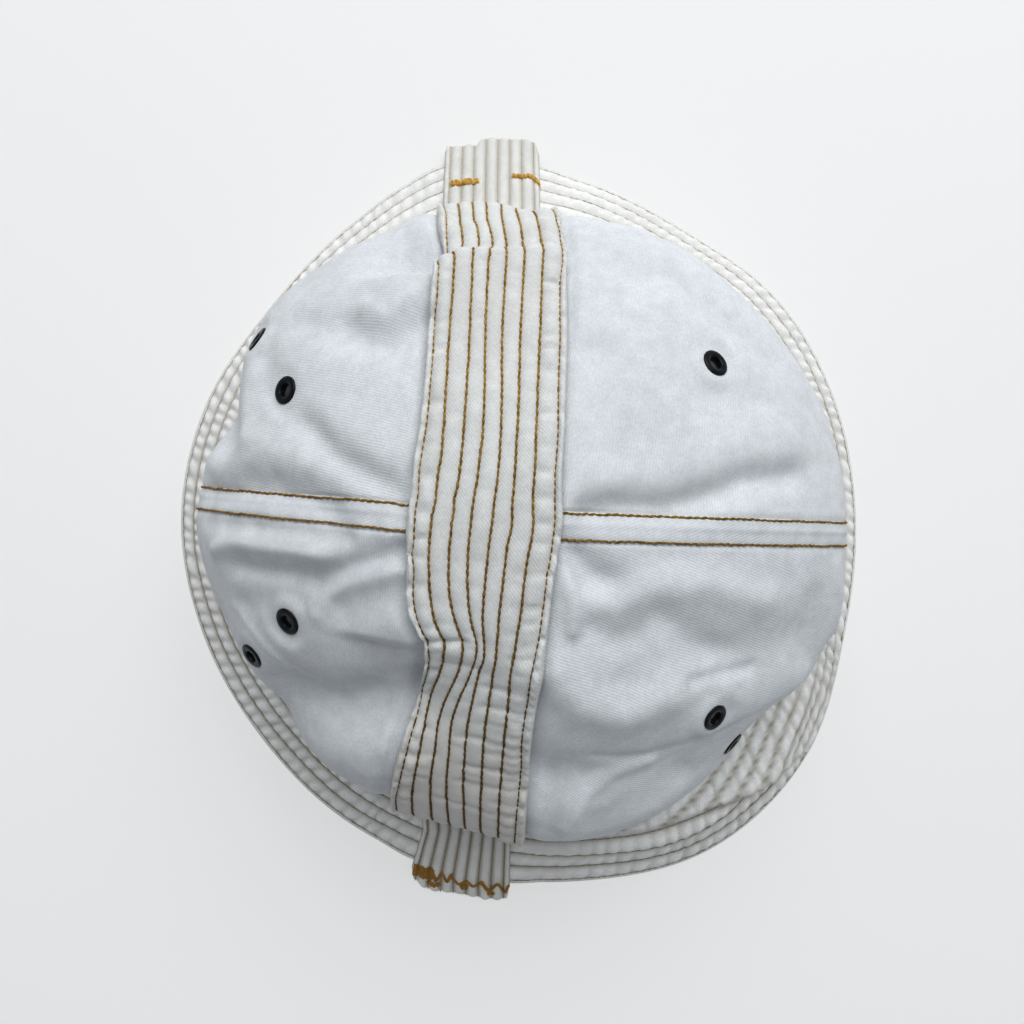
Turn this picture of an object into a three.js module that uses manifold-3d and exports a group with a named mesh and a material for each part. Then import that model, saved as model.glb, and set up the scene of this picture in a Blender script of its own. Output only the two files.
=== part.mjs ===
// A soft unlined cloth cap: four quarter panels, felled side seams, a broad strap from front to
// back, eight eyelets and a stitched brim that is turned down and carries the cap.
// Millimetres and degrees, +Z up, +Y towards the back of the cap, +X towards its right side.
// The origin lies on the resting surface, under the middle of the whole cap.
import * as THREE from 'three';
import { mergeVertices } from 'three/addons/utils/BufferGeometryUtils.js';
import Module from 'manifold-3d';

const wasm = await Module();
wasm.setup();

// Cloth, and the air left between pieces that lie on each other
const panelThickness = 1.2;
const strapThickness = 1.6;
const seamThickness = 1.0;
const seamGap = 0.5;
const brimThickness = 2.4;
const pieceGap = 0.35;

// Crown: where its pole stands and how long the cloth is from the pole to the brim seam
const poleX = -9.7;
const poleY = -0.6;
const profileShoulder = 99;
const profileRootHeight = 22;
const wallStart = 108;
const foldEnd = 4;
const poleClearance = 1.5;
const normalMargin = 1;
const smoothStep = 0.5;
const foldStep = 1;

// The side seams and the middle line of the strap part the crown into quarters
const seamRightAzimuth = -2.5;
const strapBackAzimuth = 95;
const seamLeftAzimuth = 176;
const strapFrontAzimuth = 259;

// Stitched strap and felled seams
const strapRows = 8;
const ribHeight = 0.35;
const seamWidth = 9;
const strapBed = 1.1;
const strapBedMargin = 4;
const strapEndGap = 0.6;
const strapSwingEnd = 49.5;
const seamStart = 26;
const seamStrapGap = 1.4;

// Brim, and the tabs that cross it and turn under its edge
const brimRows = 9;
const brimMargin = 1.7;
const brimShoulder = 5;
const brimShoulderDrop = 1.8;
const brimEdgeHeight = 1.6;
const brimFlatShare = 0.955;
const tabHalfWidth = 19;
const tabThickness = 1.5;
const tabUnderRun = 20;
const tabLift = 2.2;
const tabLiftStart = 20;
const tabLiftEnd = 35;
const tabStartShare = 0.09;
const tabRise = 0.62;
const tabBend = 0.95;
const tabCornerPower = 5;
const tabCornerDrop = 1.4;
const tabSkewStart = 0.68;
const tabs = [
  { name: 'brim_tab_back', side: 1, rootX: -10.6, endX: -10.6, endY: 153.2 },
  { name: 'brim_tab_front', side: -1, rootX: -21.5, endX: -23.8, endY: 153.2 },
];

// How finely each piece is divided
const weldDistance = 1e-4;
const wrapRows = 3;
const panelShares = [0, 0.07, 0.14, 0.22, 0.31, 0.42, 0.54, 0.66, 0.78, 0.89, 1];
const clothStations = [0, 10, 20, 28, 36, 45, 55, 65, 74, 80, 86, 92, 98, 105, 114, 127, 142];
const brimColumns = 54;
const brimLowerSteps = 6;
const eyeletSides = 10;
const tabColumns = 6;
const tabSteps = 6;
const tabBendSteps = 3;
const solveRounds = 4;

// Eyelets: a barrel through the panel with a rolled flange on each side
const eyeletFlangeRadius = 3.9;
const eyeletBarrelRadius = 2.7;
const eyeletHoleRadius = 2.0;
const eyeletFlangeHeight = 0.8;
const eyeletClearance = 0.45;
const punchLength = 12;
const eyelets = [
  { name: 'eyelet_back_right_upper', panel: 'crown_back_right', azimuth: 38.5, cloth: 74.5 },
  { name: 'eyelet_back_right_lower', panel: 'crown_back_right', azimuth: 37, cloth: 122 },
  { name: 'eyelet_back_left_upper', panel: 'crown_back_left', azimuth: 150, cloth: 74.5 },
  { name: 'eyelet_back_left_lower', panel: 'crown_back_left', azimuth: 146, cloth: 102 },
  { name: 'eyelet_front_left_upper', panel: 'crown_front_left', azimuth: 204, cloth: 72.5 },
  { name: 'eyelet_front_left_lower', panel: 'crown_front_left', azimuth: 207, cloth: 99 },
  { name: 'eyelet_front_right_upper', panel: 'crown_front_right', azimuth: 315, cloth: 82 },
  { name: 'eyelet_front_right_lower', panel: 'crown_front_right', azimuth: 314, cloth: 102.5 },
];

// Upright sections through the cap: widest crown, brim seam, brim crest and brim edge
const sections = [
  { azimuth: 0, shoulder: 103, root: 98, rootHeight: 22, crest: 118, crestHeight: 12, edge: 137.6 },
  { azimuth: 20, shoulder: 101.5, root: 97, rootHeight: 23, crest: 117, crestHeight: 13, edge: 137.2 },
  { azimuth: 40, shoulder: 99.5, root: 95, rootHeight: 24, crest: 116, crestHeight: 14, edge: 137.8 },
  { azimuth: 60, shoulder: 99.5, root: 94, rootHeight: 24, crest: 115, crestHeight: 14, edge: 135 },
  { azimuth: 80, shoulder: 98.8, root: 96, rootHeight: 22, crest: 119, crestHeight: 13, edge: 139.8 },
  { azimuth: 100, shoulder: 104, root: 98, rootHeight: 20, crest: 122, crestHeight: 12, edge: 146 },
  { azimuth: 120, shoulder: 101, root: 94, rootHeight: 24, crest: 116, crestHeight: 14, edge: 137.9 },
  { azimuth: 140, shoulder: 103, root: 92, rootHeight: 26, crest: 113, crestHeight: 15, edge: 133 },
  { azimuth: 160, shoulder: 99, root: 93, rootHeight: 24, crest: 114, crestHeight: 13, edge: 135.9 },
  { azimuth: 180, shoulder: 102, root: 96, rootHeight: 22, crest: 117, crestHeight: 12, edge: 137.6 },
  { azimuth: 200, shoulder: 97.5, root: 96, rootHeight: 22, crest: 117, crestHeight: 12, edge: 137.2 },
  { azimuth: 220, shoulder: 97, root: 96, rootHeight: 21, crest: 117, crestHeight: 12, edge: 138 },
  { azimuth: 240, shoulder: 98.8, root: 99, rootHeight: 19, crest: 121, crestHeight: 12, edge: 142.2 },
  { azimuth: 260, shoulder: 99.2, root: 102, rootHeight: 17, crest: 125, crestHeight: 12, edge: 147 },
  { azimuth: 280, shoulder: 103, root: 105, rootHeight: 15, crest: 130, crestHeight: 13, edge: 150.5 },
  { azimuth: 300, shoulder: 102.3, root: 110, rootHeight: 14, crest: 137, crestHeight: 15, edge: 156.2 },
  { azimuth: 320, shoulder: 102.5, root: 108, rootHeight: 15, crest: 134, crestHeight: 15, edge: 152.4 },
  { azimuth: 340, shoulder: 104.5, root: 102, rootHeight: 19, crest: 124, crestHeight: 13, edge: 141.3 },
];

// The crown's profile from the pole, over the shoulder, down to the brim seam
const profile = [
  { radius: 0, height: 112 },
  { radius: 25, height: 110 },
  { radius: 50, height: 103.5 },
  { radius: 70, height: 95 },
  { radius: 81, height: 89 },
  { radius: 89, height: 82.5 },
  { radius: 95, height: 75 },
  { radius: 99, height: 63 },
  { radius: 99, height: 41 },
  { radius: 99, height: 22 },
];

// Folds and dents of the crown, seen from above: a line, its half width, its height
const folds = [
  { name: 'lip over the back', fromX: -27, fromY: 74, toX: -4, toY: 76, width: 7, height: 2.2 },
  { name: 'drop behind the lip', fromX: -30, fromY: 86, toX: -6, toY: 88, width: 10, height: -8 },
  { name: 'sag of the back', fromX: -8, fromY: 52, toX: -6, toY: 64, width: 26, height: -4 },
  { name: 'sag of the front', fromX: -16, fromY: -60, toX: -18, toY: -76, width: 24, height: -4 },
  { name: 'pinch of the strap', fromX: -38, fromY: -31, toX: -12, toY: -36, width: 8, height: -4.5 },
  { name: 'back left dent, outer arm', fromX: -54, fromY: 63, toX: -42, toY: 55, width: 8, height: -3.5 },
  { name: 'back left dent, inner arm', fromX: -42, fromY: 55, toX: -30, toY: 66, width: 8, height: -3.5 },
  { name: 'back left valley', fromX: -61, fromY: 31, toX: -32, toY: 10, width: 8, height: -3 },
  { name: 'left edge valley', fromX: -97, fromY: 27, toX: -74, toY: 26, width: 9, height: -7 },
  { name: 'front left ridge', fromX: -88, fromY: -6, toX: -60, toY: -5, width: 8, height: 2.5 },
  { name: 'front left valley', fromX: -76, fromY: -15, toX: -36, toY: -15, width: 8, height: -3 },
  { name: 'front left hollow', fromX: -40, fromY: -36, toX: -42, toY: -52, width: 13, height: -4 },
  { name: 'back right valley', fromX: 24, fromY: 8, toX: 78, toY: 20, width: 9, height: -3 },
  { name: 'back right dent', fromX: 40, fromY: 72, toX: 66, toY: 54, width: 12, height: -2.5 },
  { name: 'front right dent', fromX: 19, fromY: -14, toX: 26, toY: -22, width: 9, height: -4 },
  { name: 'front right ridge', fromX: 34, fromY: -20, toX: 76, toY: -22, width: 9, height: 3 },
  { name: 'front right fold', fromX: 14, fromY: -62, toX: 84, toY: -37, width: 9, height: -3.5 },
  { name: 'front right lower fold', fromX: 12, fromY: -78, toX: 62, toY: -66, width: 8, height: -3 },
];

// The strap's two edges along the cloth, from the front seam over the pole to the back seam
const strapEdges = [
  { along: -158, left: -41.4, right: -1.6 },
  { along: -98, left: -40.4, right: 0.2 },
  { along: -81, left: -38.2, right: 1.7 },
  { along: -64, left: -34.5, right: 3.2 },
  { along: -50, left: -30.7, right: 4.9 },
  { along: -35, left: -28, right: 6.6 },
  { along: -25, left: -31, right: 8.2 },
  { along: -8, left: -30.4, right: 9.2 },
  { along: 5, left: -29.5, right: 10.3 },
  { along: 25, left: -27.3, right: 11.9 },
  { along: 51, left: -26.5, right: 12.8 },
  { along: 79, left: -25.5, right: 13.4 },
  { along: 105, left: -27.2, right: 12.6 },
  { along: 158, left: -30.3, right: 9.5 },
];

const { clamp, degToRad, euclideanModulo, lerp, radToDeg, smoothstep } = THREE.MathUtils;

// A smooth curve through the rows of a table, with the slope at a row set by its neighbours
function tableAt(rows, key, place) {
  const last = rows.length - 1;
  const next = rows.findIndex((row) => row[key] > place);
  const index = clamp((next < 0 ? last : next) - 1, 0, last - 1);
  const [before, from, to, after] = [-1, 0, 1, 2].map((shift) => rows[clamp(index + shift, 0, last)]);
  const span = to[key] - from[key];
  const share = clamp((place - from[key]) / span, 0, 1);
  const square = share * share;
  const cube = square * share;
  const result = {};
  for (const column of Object.keys(from)) {
    const fromSlope = (to[column] - before[column]) / (to[key] - before[key]) * span;
    const toSlope = (after[column] - from[column]) / (after[key] - from[key]) * span;
    result[column] = (2 * cube - 3 * square + 1) * from[column] + (cube - 2 * square + share) * fromSlope
      + (3 * square - 2 * cube) * to[column] + (cube - square) * toSlope;
  }
  return result;
}

// The sections once more before and after the full turn, so that the curve closes
const roundSections = [
  ...sections.slice(-wrapRows).map((row) => ({ ...row, azimuth: row.azimuth - 360 })),
  ...sections,
  ...sections.slice(0, wrapRows).map((row) => ({ ...row, azimuth: row.azimuth + 360 })),
];

function sectionAt(azimuth) {
  return tableAt(roundSections, 'azimuth', euclideanModulo(azimuth, 360));
}

const profileCurve = new THREE.SplineCurve(profile.map((row) => new THREE.Vector2(row.radius, row.height)));
const clothLength = profileCurve.getLength();
const stations = [...clothStations, clothLength];

// How much the folds lift the cloth at a place seen from above
function foldHeight(x, y) {
  let height = 0;
  for (const fold of folds) {
    const runX = fold.toX - fold.fromX;
    const runY = fold.toY - fold.fromY;
    const along = ((x - fold.fromX) * runX + (y - fold.fromY) * runY) / (runX * runX + runY * runY);
    const share = clamp(along, 0, 1);
    const away = Math.hypot(x - fold.fromX - share * runX, y - fold.fromY - share * runY);
    height += fold.height * Math.exp(-((away / fold.width) ** 2));
  }
  return height;
}

// The crown without its folds, at a cloth length from the pole
function smoothCrownPoint(azimuth, cloth) {
  const section = sectionAt(azimuth);
  const place = profileCurve.getPointAt(clamp(cloth / clothLength, 0, 1));
  const wall = smoothstep(cloth, wallStart, clothLength);
  const radius = place.x * section.shoulder / profileShoulder + wall * (section.root - section.shoulder);
  const height = place.y + wall * (section.rootHeight - profileRootHeight);
  const poleShare = 1 - place.x / profileShoulder;
  const angle = degToRad(azimuth);
  return new THREE.Vector3(
    poleX * poleShare + radius * Math.cos(angle),
    poleY * poleShare + radius * Math.sin(angle),
    height,
  );
}

// Normal of any surface given by two parameters, from two small steps along it
function surfaceNormal(surface, across, along, step) {
  const acrossRun = surface(across + step, along).sub(surface(across - step, along));
  const alongRun = surface(across, along + step).sub(surface(across, along - step));
  return acrossRun.cross(alongRun).normalize();
}

function smoothCrownNormal(azimuth, cloth) {
  const place = clamp(cloth, poleClearance, clothLength - normalMargin);
  return surfaceNormal(smoothCrownPoint, azimuth, place, smoothStep).negate();
}

// The crown's outer face with its folds, which die out down the side wall
function crownPoint(azimuth, cloth) {
  const point = smoothCrownPoint(azimuth, cloth);
  const fade = 1 - smoothstep(cloth, wallStart, clothLength - foldEnd);
  const lift = foldHeight(point.x, point.y) * fade;
  return point.addScaledVector(smoothCrownNormal(azimuth, cloth), lift);
}

function crownNormal(azimuth, cloth) {
  const place = clamp(cloth, poleClearance, clothLength - normalMargin);
  return surfaceNormal(crownPoint, azimuth, place, foldStep).negate();
}

// Polar place on the crown for a place on the strap: cloth length along it and x across it
function strapPlace(along, x) {
  const cloth = Math.abs(along);
  const radius = profileCurve.getPointAt(clamp(cloth / clothLength, 0, 1)).x;
  const poleShare = 1 - radius / profileShoulder;
  const stretch = cloth < poleClearance ? 1 : cloth / radius;
  const across = (x - poleX * poleShare) * stretch;
  const ringShare = 1 - smoothstep(cloth, strapSwingEnd, wallStart);
  return {
    azimuth: radToDeg(Math.atan2(along, across)),
    cloth: Math.hypot(cloth, across * ringShare),
  };
}

// The panels lie a little lower where the strap covers them
function bedDepth(azimuth, cloth) {
  const along = cloth * Math.sin(degToRad(azimuth));
  const edges = tableAt(strapEdges, 'along', along);
  const x = smoothCrownPoint(azimuth, cloth).x;
  const outside = Math.max(edges.left - x, x - edges.right);
  return strapBed * (1 - smoothstep(outside, 0, strapBedMargin));
}

// A closed solid between two grids of points, grid[row][column]. A ring closes on itself, and
// only a ring may have fewer rows on one face than on the other.
function solidBetween(outer, inner, ring) {
  const columns = outer[0].length;
  const lastOuter = outer.length - 1;
  const lastInner = inner.length - 1;
  const positions = [...outer.flat(), ...inner.flat()].flatMap((point) => point.toArray());
  const indices = [];
  const out = (row, column) => row * columns + (column % columns);
  const into = (row, column) => (outer.length + row) * columns + (column % columns);
  const quad = (a, b, c, d) => indices.push(a, b, c, a, c, d);
  const lastColumn = ring ? columns : columns - 1;
  for (let column = 0; column < lastColumn; column += 1) {
    const next = column + 1;
    for (let row = 0; row < lastOuter; row += 1) {
      quad(out(row, column), out(row + 1, column), out(row + 1, next), out(row, next));
    }
    for (let row = 0; row < lastInner; row += 1) {
      quad(into(row, column), into(row, next), into(row + 1, next), into(row + 1, column));
    }
    quad(out(0, column), out(0, next), into(0, next), into(0, column));
    quad(out(lastOuter, column), into(lastInner, column), into(lastInner, next), out(lastOuter, next));
  }
  if (!ring) {
    for (let row = 0; row < lastOuter; row += 1) {
      quad(out(row, 0), into(row, 0), into(row + 1, 0), out(row + 1, 0));
      quad(out(row, lastColumn), out(row + 1, lastColumn), into(row + 1, lastColumn), into(row, lastColumn));
    }
  }
  const geometry = new THREE.BufferGeometry();
  geometry.setAttribute('position', new THREE.Float32BufferAttribute(positions, 3));
  geometry.setIndex(indices);
  return tidySolid(geometry);
}

// Merged corners, no flat triangles, and every face turned outwards
function tidySolid(source) {
  source.deleteAttribute('normal');
  source.deleteAttribute('uv');
  const geometry = mergeVertices(source, weldDistance);
  const index = geometry.getIndex().array;
  const position = geometry.getAttribute('position');
  const corners = [new THREE.Vector3(), new THREE.Vector3(), new THREE.Vector3()];
  const kept = [];
  let volume = 0;
  for (let i = 0; i < index.length; i += 3) {
    const [a, b, c] = [index[i], index[i + 1], index[i + 2]];
    if (a !== b && b !== c && c !== a) {
      kept.push([a, b, c]);
      [a, b, c].forEach((vertex, corner) => corners[corner].fromBufferAttribute(position, vertex));
      volume += corners[0].dot(corners[1].clone().cross(corners[2]));
    }
  }
  geometry.setIndex(kept.flatMap(([a, b, c]) => (volume < 0 ? [a, c, b] : [a, b, c])));
  return geometry;
}

function toManifold(geometry) {
  return new wasm.Manifold(new wasm.Mesh({
    numProp: 3,
    vertProperties: new Float32Array(geometry.getAttribute('position').array),
    triVerts: new Uint32Array(geometry.getIndex().array),
  }));
}

function toGeometry(manifold) {
  const mesh = manifold.getMesh();
  const geometry = new THREE.BufferGeometry();
  geometry.setAttribute('position', new THREE.Float32BufferAttribute(mesh.vertProperties, 3));
  geometry.setIndex([...mesh.triVerts]);
  return geometry;
}

function evenSteps(from, to, count) {
  return Array.from({ length: count + 1 }, (_, step) => lerp(from, to, step / count));
}

// Where an eyelet sits: level with the cloth under the rim of its flange, in the middle of the
// panel's thickness. Four probes along the cloth's normal find the outer face of the panel.
function eyeletPlacement(eyelet, panel) {
  const middle = crownPoint(eyelet.azimuth, eyelet.cloth);
  const normal = crownNormal(eyelet.azimuth, eyelet.cloth);
  const across = new THREE.Vector3(0, 0, 1).cross(normal).setLength(eyeletFlangeRadius);
  const down = across.clone().cross(normal);
  const probe = new THREE.Raycaster();
  const rim = [across, down, across.clone().negate(), down.clone().negate()].map((offset) => {
    const start = middle.clone().add(offset).addScaledVector(normal, punchLength);
    probe.set(start, normal.clone().negate());
    return probe.intersectObject(panel)[0].point;
  });
  const level = rim[2].clone().sub(rim[0]).cross(rim[3].clone().sub(rim[1])).normalize();
  const centre = rim.reduce((sum, point) => sum.add(point), new THREE.Vector3()).divideScalar(rim.length);
  centre.addScaledVector(level, -panelThickness / 2 * Math.sign(level.dot(normal)));
  return { centre, turn: new THREE.Quaternion().setFromUnitVectors(new THREE.Vector3(0, 1, 0), level) };
}

const eyeletPlacements = new Map();

// One quarter of the crown, from the pole to the brim seam, with its two eyelet holes. Its
// columns stand closer near the strap, where the folds are tighter.
function quarterPanel(name, strapAzimuth, seamAzimuth) {
  const azimuths = panelShares.map((share) => lerp(strapAzimuth, seamAzimuth, share));
  const middle = degToRad((strapAzimuth + seamAzimuth) / 2);
  const shift = new THREE.Vector3(Math.sign(Math.cos(middle)), Math.sign(Math.sin(middle)), 0)
    .multiplyScalar(pieceGap / 2);
  const face = (depth) => stations.map((cloth) => azimuths.map((azimuth) => crownPoint(azimuth, cloth)
    .addScaledVector(crownNormal(cloth > 0 ? azimuth : 0, cloth), -depth - bedDepth(azimuth, cloth))
    .add(shift)));
  const whole = solidBetween(face(0), face(panelThickness), false);
  let panel = toManifold(whole);
  for (const eyelet of eyelets.filter((row) => row.panel === name)) {
    const placement = eyeletPlacement(eyelet, new THREE.Mesh(whole));
    eyeletPlacements.set(eyelet.name, placement);
    const { centre, turn } = placement;
    const radius = eyeletBarrelRadius + pieceGap;
    const punch = new THREE.CylinderGeometry(radius, radius, punchLength, eyeletSides);
    punch.applyQuaternion(turn).translate(centre.x, centre.y, centre.z);
    panel = panel.subtract(toManifold(tidySolid(punch)));
  }
  return toGeometry(panel);
}

// A felled side seam: a narrow strip over the meeting edges of two quarters
function sideSeam(seamAzimuth) {
  const cloths = stations.filter((cloth) => cloth > seamStart);
  const edges = tableAt(strapEdges, 'along', 0);
  const strapEdge = Math.cos(degToRad(seamAzimuth)) > 0 ? edges.right - poleX : poleX - edges.left;
  cloths.unshift(strapEdge + seamStrapGap);
  const offsets = evenSteps(-seamWidth / 2, seamWidth / 2, 2);
  const face = (height) => cloths.map((cloth) => offsets.map((offset) => {
    const radius = profileCurve.getPointAt(cloth / clothLength).x;
    const azimuth = seamAzimuth + radToDeg(offset / radius);
    return crownPoint(azimuth, cloth).addScaledVector(crownNormal(azimuth, cloth), height);
  }));
  return solidBetween(face(seamGap + seamThickness), face(seamGap), false);
}

// The stitched strap over the crown, with a low rib between each two rows of stitches
function crownStrap() {
  const backStations = [...clothStations.slice(1), clothLength - strapEndGap];
  const strapStations = [...backStations.map((cloth) => -cloth).reverse(), 0, ...backStations];
  const ribs = strapRows + 1;
  const shares = evenSteps(0, 1, 2 * ribs);
  const face = (height, rib) => strapStations.map((along) => {
    const { left, right } = tableAt(strapEdges, 'along', along);
    return shares.map((share, column) => {
      const { azimuth, cloth } = strapPlace(along, lerp(left, right, share));
      const lift = height + (column % 2 === 1 ? rib : 0);
      return crownPoint(azimuth, cloth).addScaledVector(crownNormal(azimuth, cloth), lift);
    });
  });
  return solidBetween(face(pieceGap + strapThickness - ribHeight, ribHeight), face(pieceGap, 0), false);
}

// The brim's edge is lifted a little where a tab passes under it
function edgeLift(azimuth, edge) {
  const angle = degToRad(azimuth);
  const side = Math.sin(angle) > 0 ? 1 : -1;
  const tab = tabs.find((row) => row.side === side);
  const away = Math.abs(edge * Math.cos(angle) - tab.endX);
  return tabLift * (1 - smoothstep(away, tabLiftStart, tabLiftEnd));
}

// The brim's upper face in one upright section: radius outwards and height
function brimSection(azimuth) {
  const section = sectionAt(azimuth);
  const lift = edgeLift(azimuth, section.edge);
  const curve = new THREE.SplineCurve([
    new THREE.Vector2(section.root - brimMargin, section.rootHeight - pieceGap),
    new THREE.Vector2(section.root + pieceGap, section.rootHeight - pieceGap),
    new THREE.Vector2(section.root + brimShoulder, section.rootHeight - brimShoulderDrop),
    new THREE.Vector2(section.crest, section.crestHeight),
    new THREE.Vector2(section.edge, brimEdgeHeight + lift),
  ]);
  return { curve, lift };
}

function pointOnRay(azimuth, radius, height) {
  const angle = degToRad(azimuth);
  return new THREE.Vector3(radius * Math.cos(angle), radius * Math.sin(angle), height);
}

// A point of the brim at a share of its width, on the upper face or a little below it
function brimPoint(azimuth, share, below) {
  const { curve } = brimSection(azimuth);
  const place = curve.getPointAt(share);
  const slope = curve.getTangentAt(share);
  return pointOnRay(azimuth, place.x + below * slope.y, place.y - below * slope.x);
}

// The same on the lower face, which is level from the last row of stitches to the edge
function brimLowerPoint(azimuth, share) {
  const { curve, lift } = brimSection(azimuth);
  const place = curve.getPointAt(share);
  if (share >= brimFlatShare) {
    return pointOnRay(azimuth, place.x, lift);
  }
  const point = brimPoint(azimuth, share, brimThickness);
  point.z = Math.max(point.z, lift);
  return point;
}

// The stitched brim: low ribs between its rows of stitches, flat below where it rests
function brim() {
  const azimuths = evenSteps(0, 360, brimColumns).slice(0, -1);
  const ribShares = evenSteps(0, brimFlatShare, 2 * brimRows);
  const shares = [...ribShares, 1];
  const upper = shares.map((share, row) => azimuths.map((azimuth) => {
    const groove = row % 2 === 0 && row < shares.length - 1 ? ribHeight : 0;
    return brimPoint(azimuth, share, groove);
  }));
  const lowerShares = [...evenSteps(0, brimFlatShare, brimLowerSteps), 1];
  const lower = lowerShares.map((share) => azimuths.map((azimuth) => brimLowerPoint(azimuth, share)));
  return solidBetween(upper, lower, true);
}

// The azimuth at which a ring of the brim reaches a given x, on the back or the front
function azimuthAtX(x, share, side) {
  let azimuth = 90 * side;
  for (let round = 0; round < solveRounds; round += 1) {
    const radius = brimSection(azimuth).curve.getPointAt(share).x;
    azimuth = side * radToDeg(Math.acos(clamp(x / radius, -1, 1)));
  }
  return azimuth;
}

// A tab's middle line at one x: out over the brim, past its edge, round and back underneath
function tabLine(tab, offset) {
  const shares = evenSteps(tabStartShare, 1, tabSteps);
  const onBrim = shares.map((share) => {
    const x = lerp(tab.rootX, tab.endX, share) + offset;
    const point = brimPoint(azimuthAtX(x, share, tab.side), share, 0);
    return new THREE.Vector2(Math.abs(point.y), point.z + pieceGap + tabThickness * tabRise);
  });
  const edge = onBrim[onBrim.length - 1];
  const corner = Math.abs(offset / tabHalfWidth) ** tabCornerPower * tabCornerDrop;
  const bend = new THREE.Vector2(tab.endY - corner - tabThickness / 2 - tabBend, tabThickness / 2 + tabBend);
  const turns = evenSteps(90, -90, tabBendSteps).map((angle) => new THREE.Vector2(
    bend.x + tabBend * Math.cos(degToRad(angle)),
    bend.y + tabBend * Math.sin(degToRad(angle)),
  ));
  const under = new THREE.Vector2(edge.x - tabUnderRun, tabThickness / 2);
  return [...onBrim, ...turns, new THREE.Vector2(edge.x, tabThickness / 2), under];
}

// A strip of even thickness along the middle lines of its columns
function brimTab(tab) {
  const offsets = evenSteps(-tabHalfWidth, tabHalfWidth, tabColumns);
  const lines = offsets.map((offset) => tabLine(tab, offset));
  const face = (height) => lines[0].map((_, station) => lines.map((line, column) => {
    const from = line[Math.max(station - 1, 0)];
    const to = line[Math.min(station + 1, line.length - 1)];
    const run = to.clone().sub(from).normalize();
    const along = clamp(line[station].x / tab.endY, 0, 1);
    const x = lerp(tab.rootX, tab.endX, smoothstep(along, tabSkewStart, 1)) + offsets[column];
    const y = tab.side * (line[station].x - run.y * height);
    return new THREE.Vector3(x, y, line[station].y + run.x * height);
  }));
  return solidBetween(face(tabThickness / 2), face(-tabThickness / 2), false);
}

// An eyelet: one ring with a rolled flange above and below the cloth
function eyeletRing(eyelet) {
  const clothSide = panelThickness / 2 + eyeletClearance;
  const outside = clothSide + eyeletFlangeHeight;
  const corners = [
    [eyeletHoleRadius, -outside],
    [eyeletFlangeRadius, -outside],
    [eyeletFlangeRadius, -clothSide],
    [eyeletBarrelRadius, -clothSide],
    [eyeletBarrelRadius, clothSide],
    [eyeletFlangeRadius, clothSide],
    [eyeletFlangeRadius, outside],
    [eyeletHoleRadius, outside],
    [eyeletHoleRadius, -outside],
  ];
  const ring = new THREE.LatheGeometry(corners.map(([x, y]) => new THREE.Vector2(x, y)), eyeletSides);
  const { centre, turn } = eyeletPlacements.get(eyelet.name);
  ring.applyQuaternion(turn).translate(centre.x, centre.y, centre.z);
  return tidySolid(ring);
}

const panelCloth = new THREE.MeshStandardMaterial({ color: 0xd9e2ea, roughness: 0.92, metalness: 0 });
const strapCloth = new THREE.MeshStandardMaterial({ color: 0xe6e7e2, roughness: 0.92, metalness: 0 });
const brimCloth = new THREE.MeshStandardMaterial({ color: 0xe3e1d6, roughness: 0.93, metalness: 0 });
const blackMetal = new THREE.MeshStandardMaterial({ color: 0x14171b, roughness: 0.4, metalness: 0.6 });

const cap = new THREE.Group();

function addPiece(name, geometry, material) {
  const piece = new THREE.Mesh(geometry, material);
  piece.name = name;
  cap.add(piece);
}

const quarters = [
  { name: 'crown_back_right', strap: strapBackAzimuth, seam: seamRightAzimuth },
  { name: 'crown_back_left', strap: strapBackAzimuth, seam: seamLeftAzimuth },
  { name: 'crown_front_left', strap: strapFrontAzimuth, seam: seamLeftAzimuth },
  { name: 'crown_front_right', strap: strapFrontAzimuth, seam: seamRightAzimuth + 360 },
];
for (const quarter of quarters) {
  addPiece(quarter.name, quarterPanel(quarter.name, quarter.strap, quarter.seam), panelCloth);
}
addPiece('side_seam_right', sideSeam(seamRightAzimuth), panelCloth);
addPiece('side_seam_left', sideSeam(seamLeftAzimuth), panelCloth);
addPiece('crown_strap', crownStrap(), strapCloth);
addPiece('brim', brim(), brimCloth);
for (const tab of tabs) {
  addPiece(tab.name, brimTab(tab), strapCloth);
}
for (const eyelet of eyelets) {
  addPiece(eyelet.name, eyeletRing(eyelet), blackMetal);
}

export default cap;
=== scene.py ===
import math

import bmesh
import bpy
import numpy as np
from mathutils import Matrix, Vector


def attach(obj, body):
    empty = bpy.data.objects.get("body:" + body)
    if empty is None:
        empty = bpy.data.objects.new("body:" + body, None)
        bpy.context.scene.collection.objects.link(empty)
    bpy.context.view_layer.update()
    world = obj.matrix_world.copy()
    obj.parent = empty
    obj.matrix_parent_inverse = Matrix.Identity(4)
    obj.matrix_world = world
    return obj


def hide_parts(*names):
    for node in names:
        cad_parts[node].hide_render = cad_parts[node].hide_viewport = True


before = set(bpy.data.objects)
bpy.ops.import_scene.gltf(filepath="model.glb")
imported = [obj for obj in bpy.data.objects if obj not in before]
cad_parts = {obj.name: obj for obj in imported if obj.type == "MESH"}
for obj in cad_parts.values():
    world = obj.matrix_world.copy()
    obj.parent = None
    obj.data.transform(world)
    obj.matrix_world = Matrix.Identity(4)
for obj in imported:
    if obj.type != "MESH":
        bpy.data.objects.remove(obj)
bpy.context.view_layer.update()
print("frame loaded")

# All forms below are worked out in millimetres and turned into metres when a mesh is made.
# +Z is up, +Y the back of the cap, and the pole is where the four quarters meet.
mm = 0.001

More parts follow.
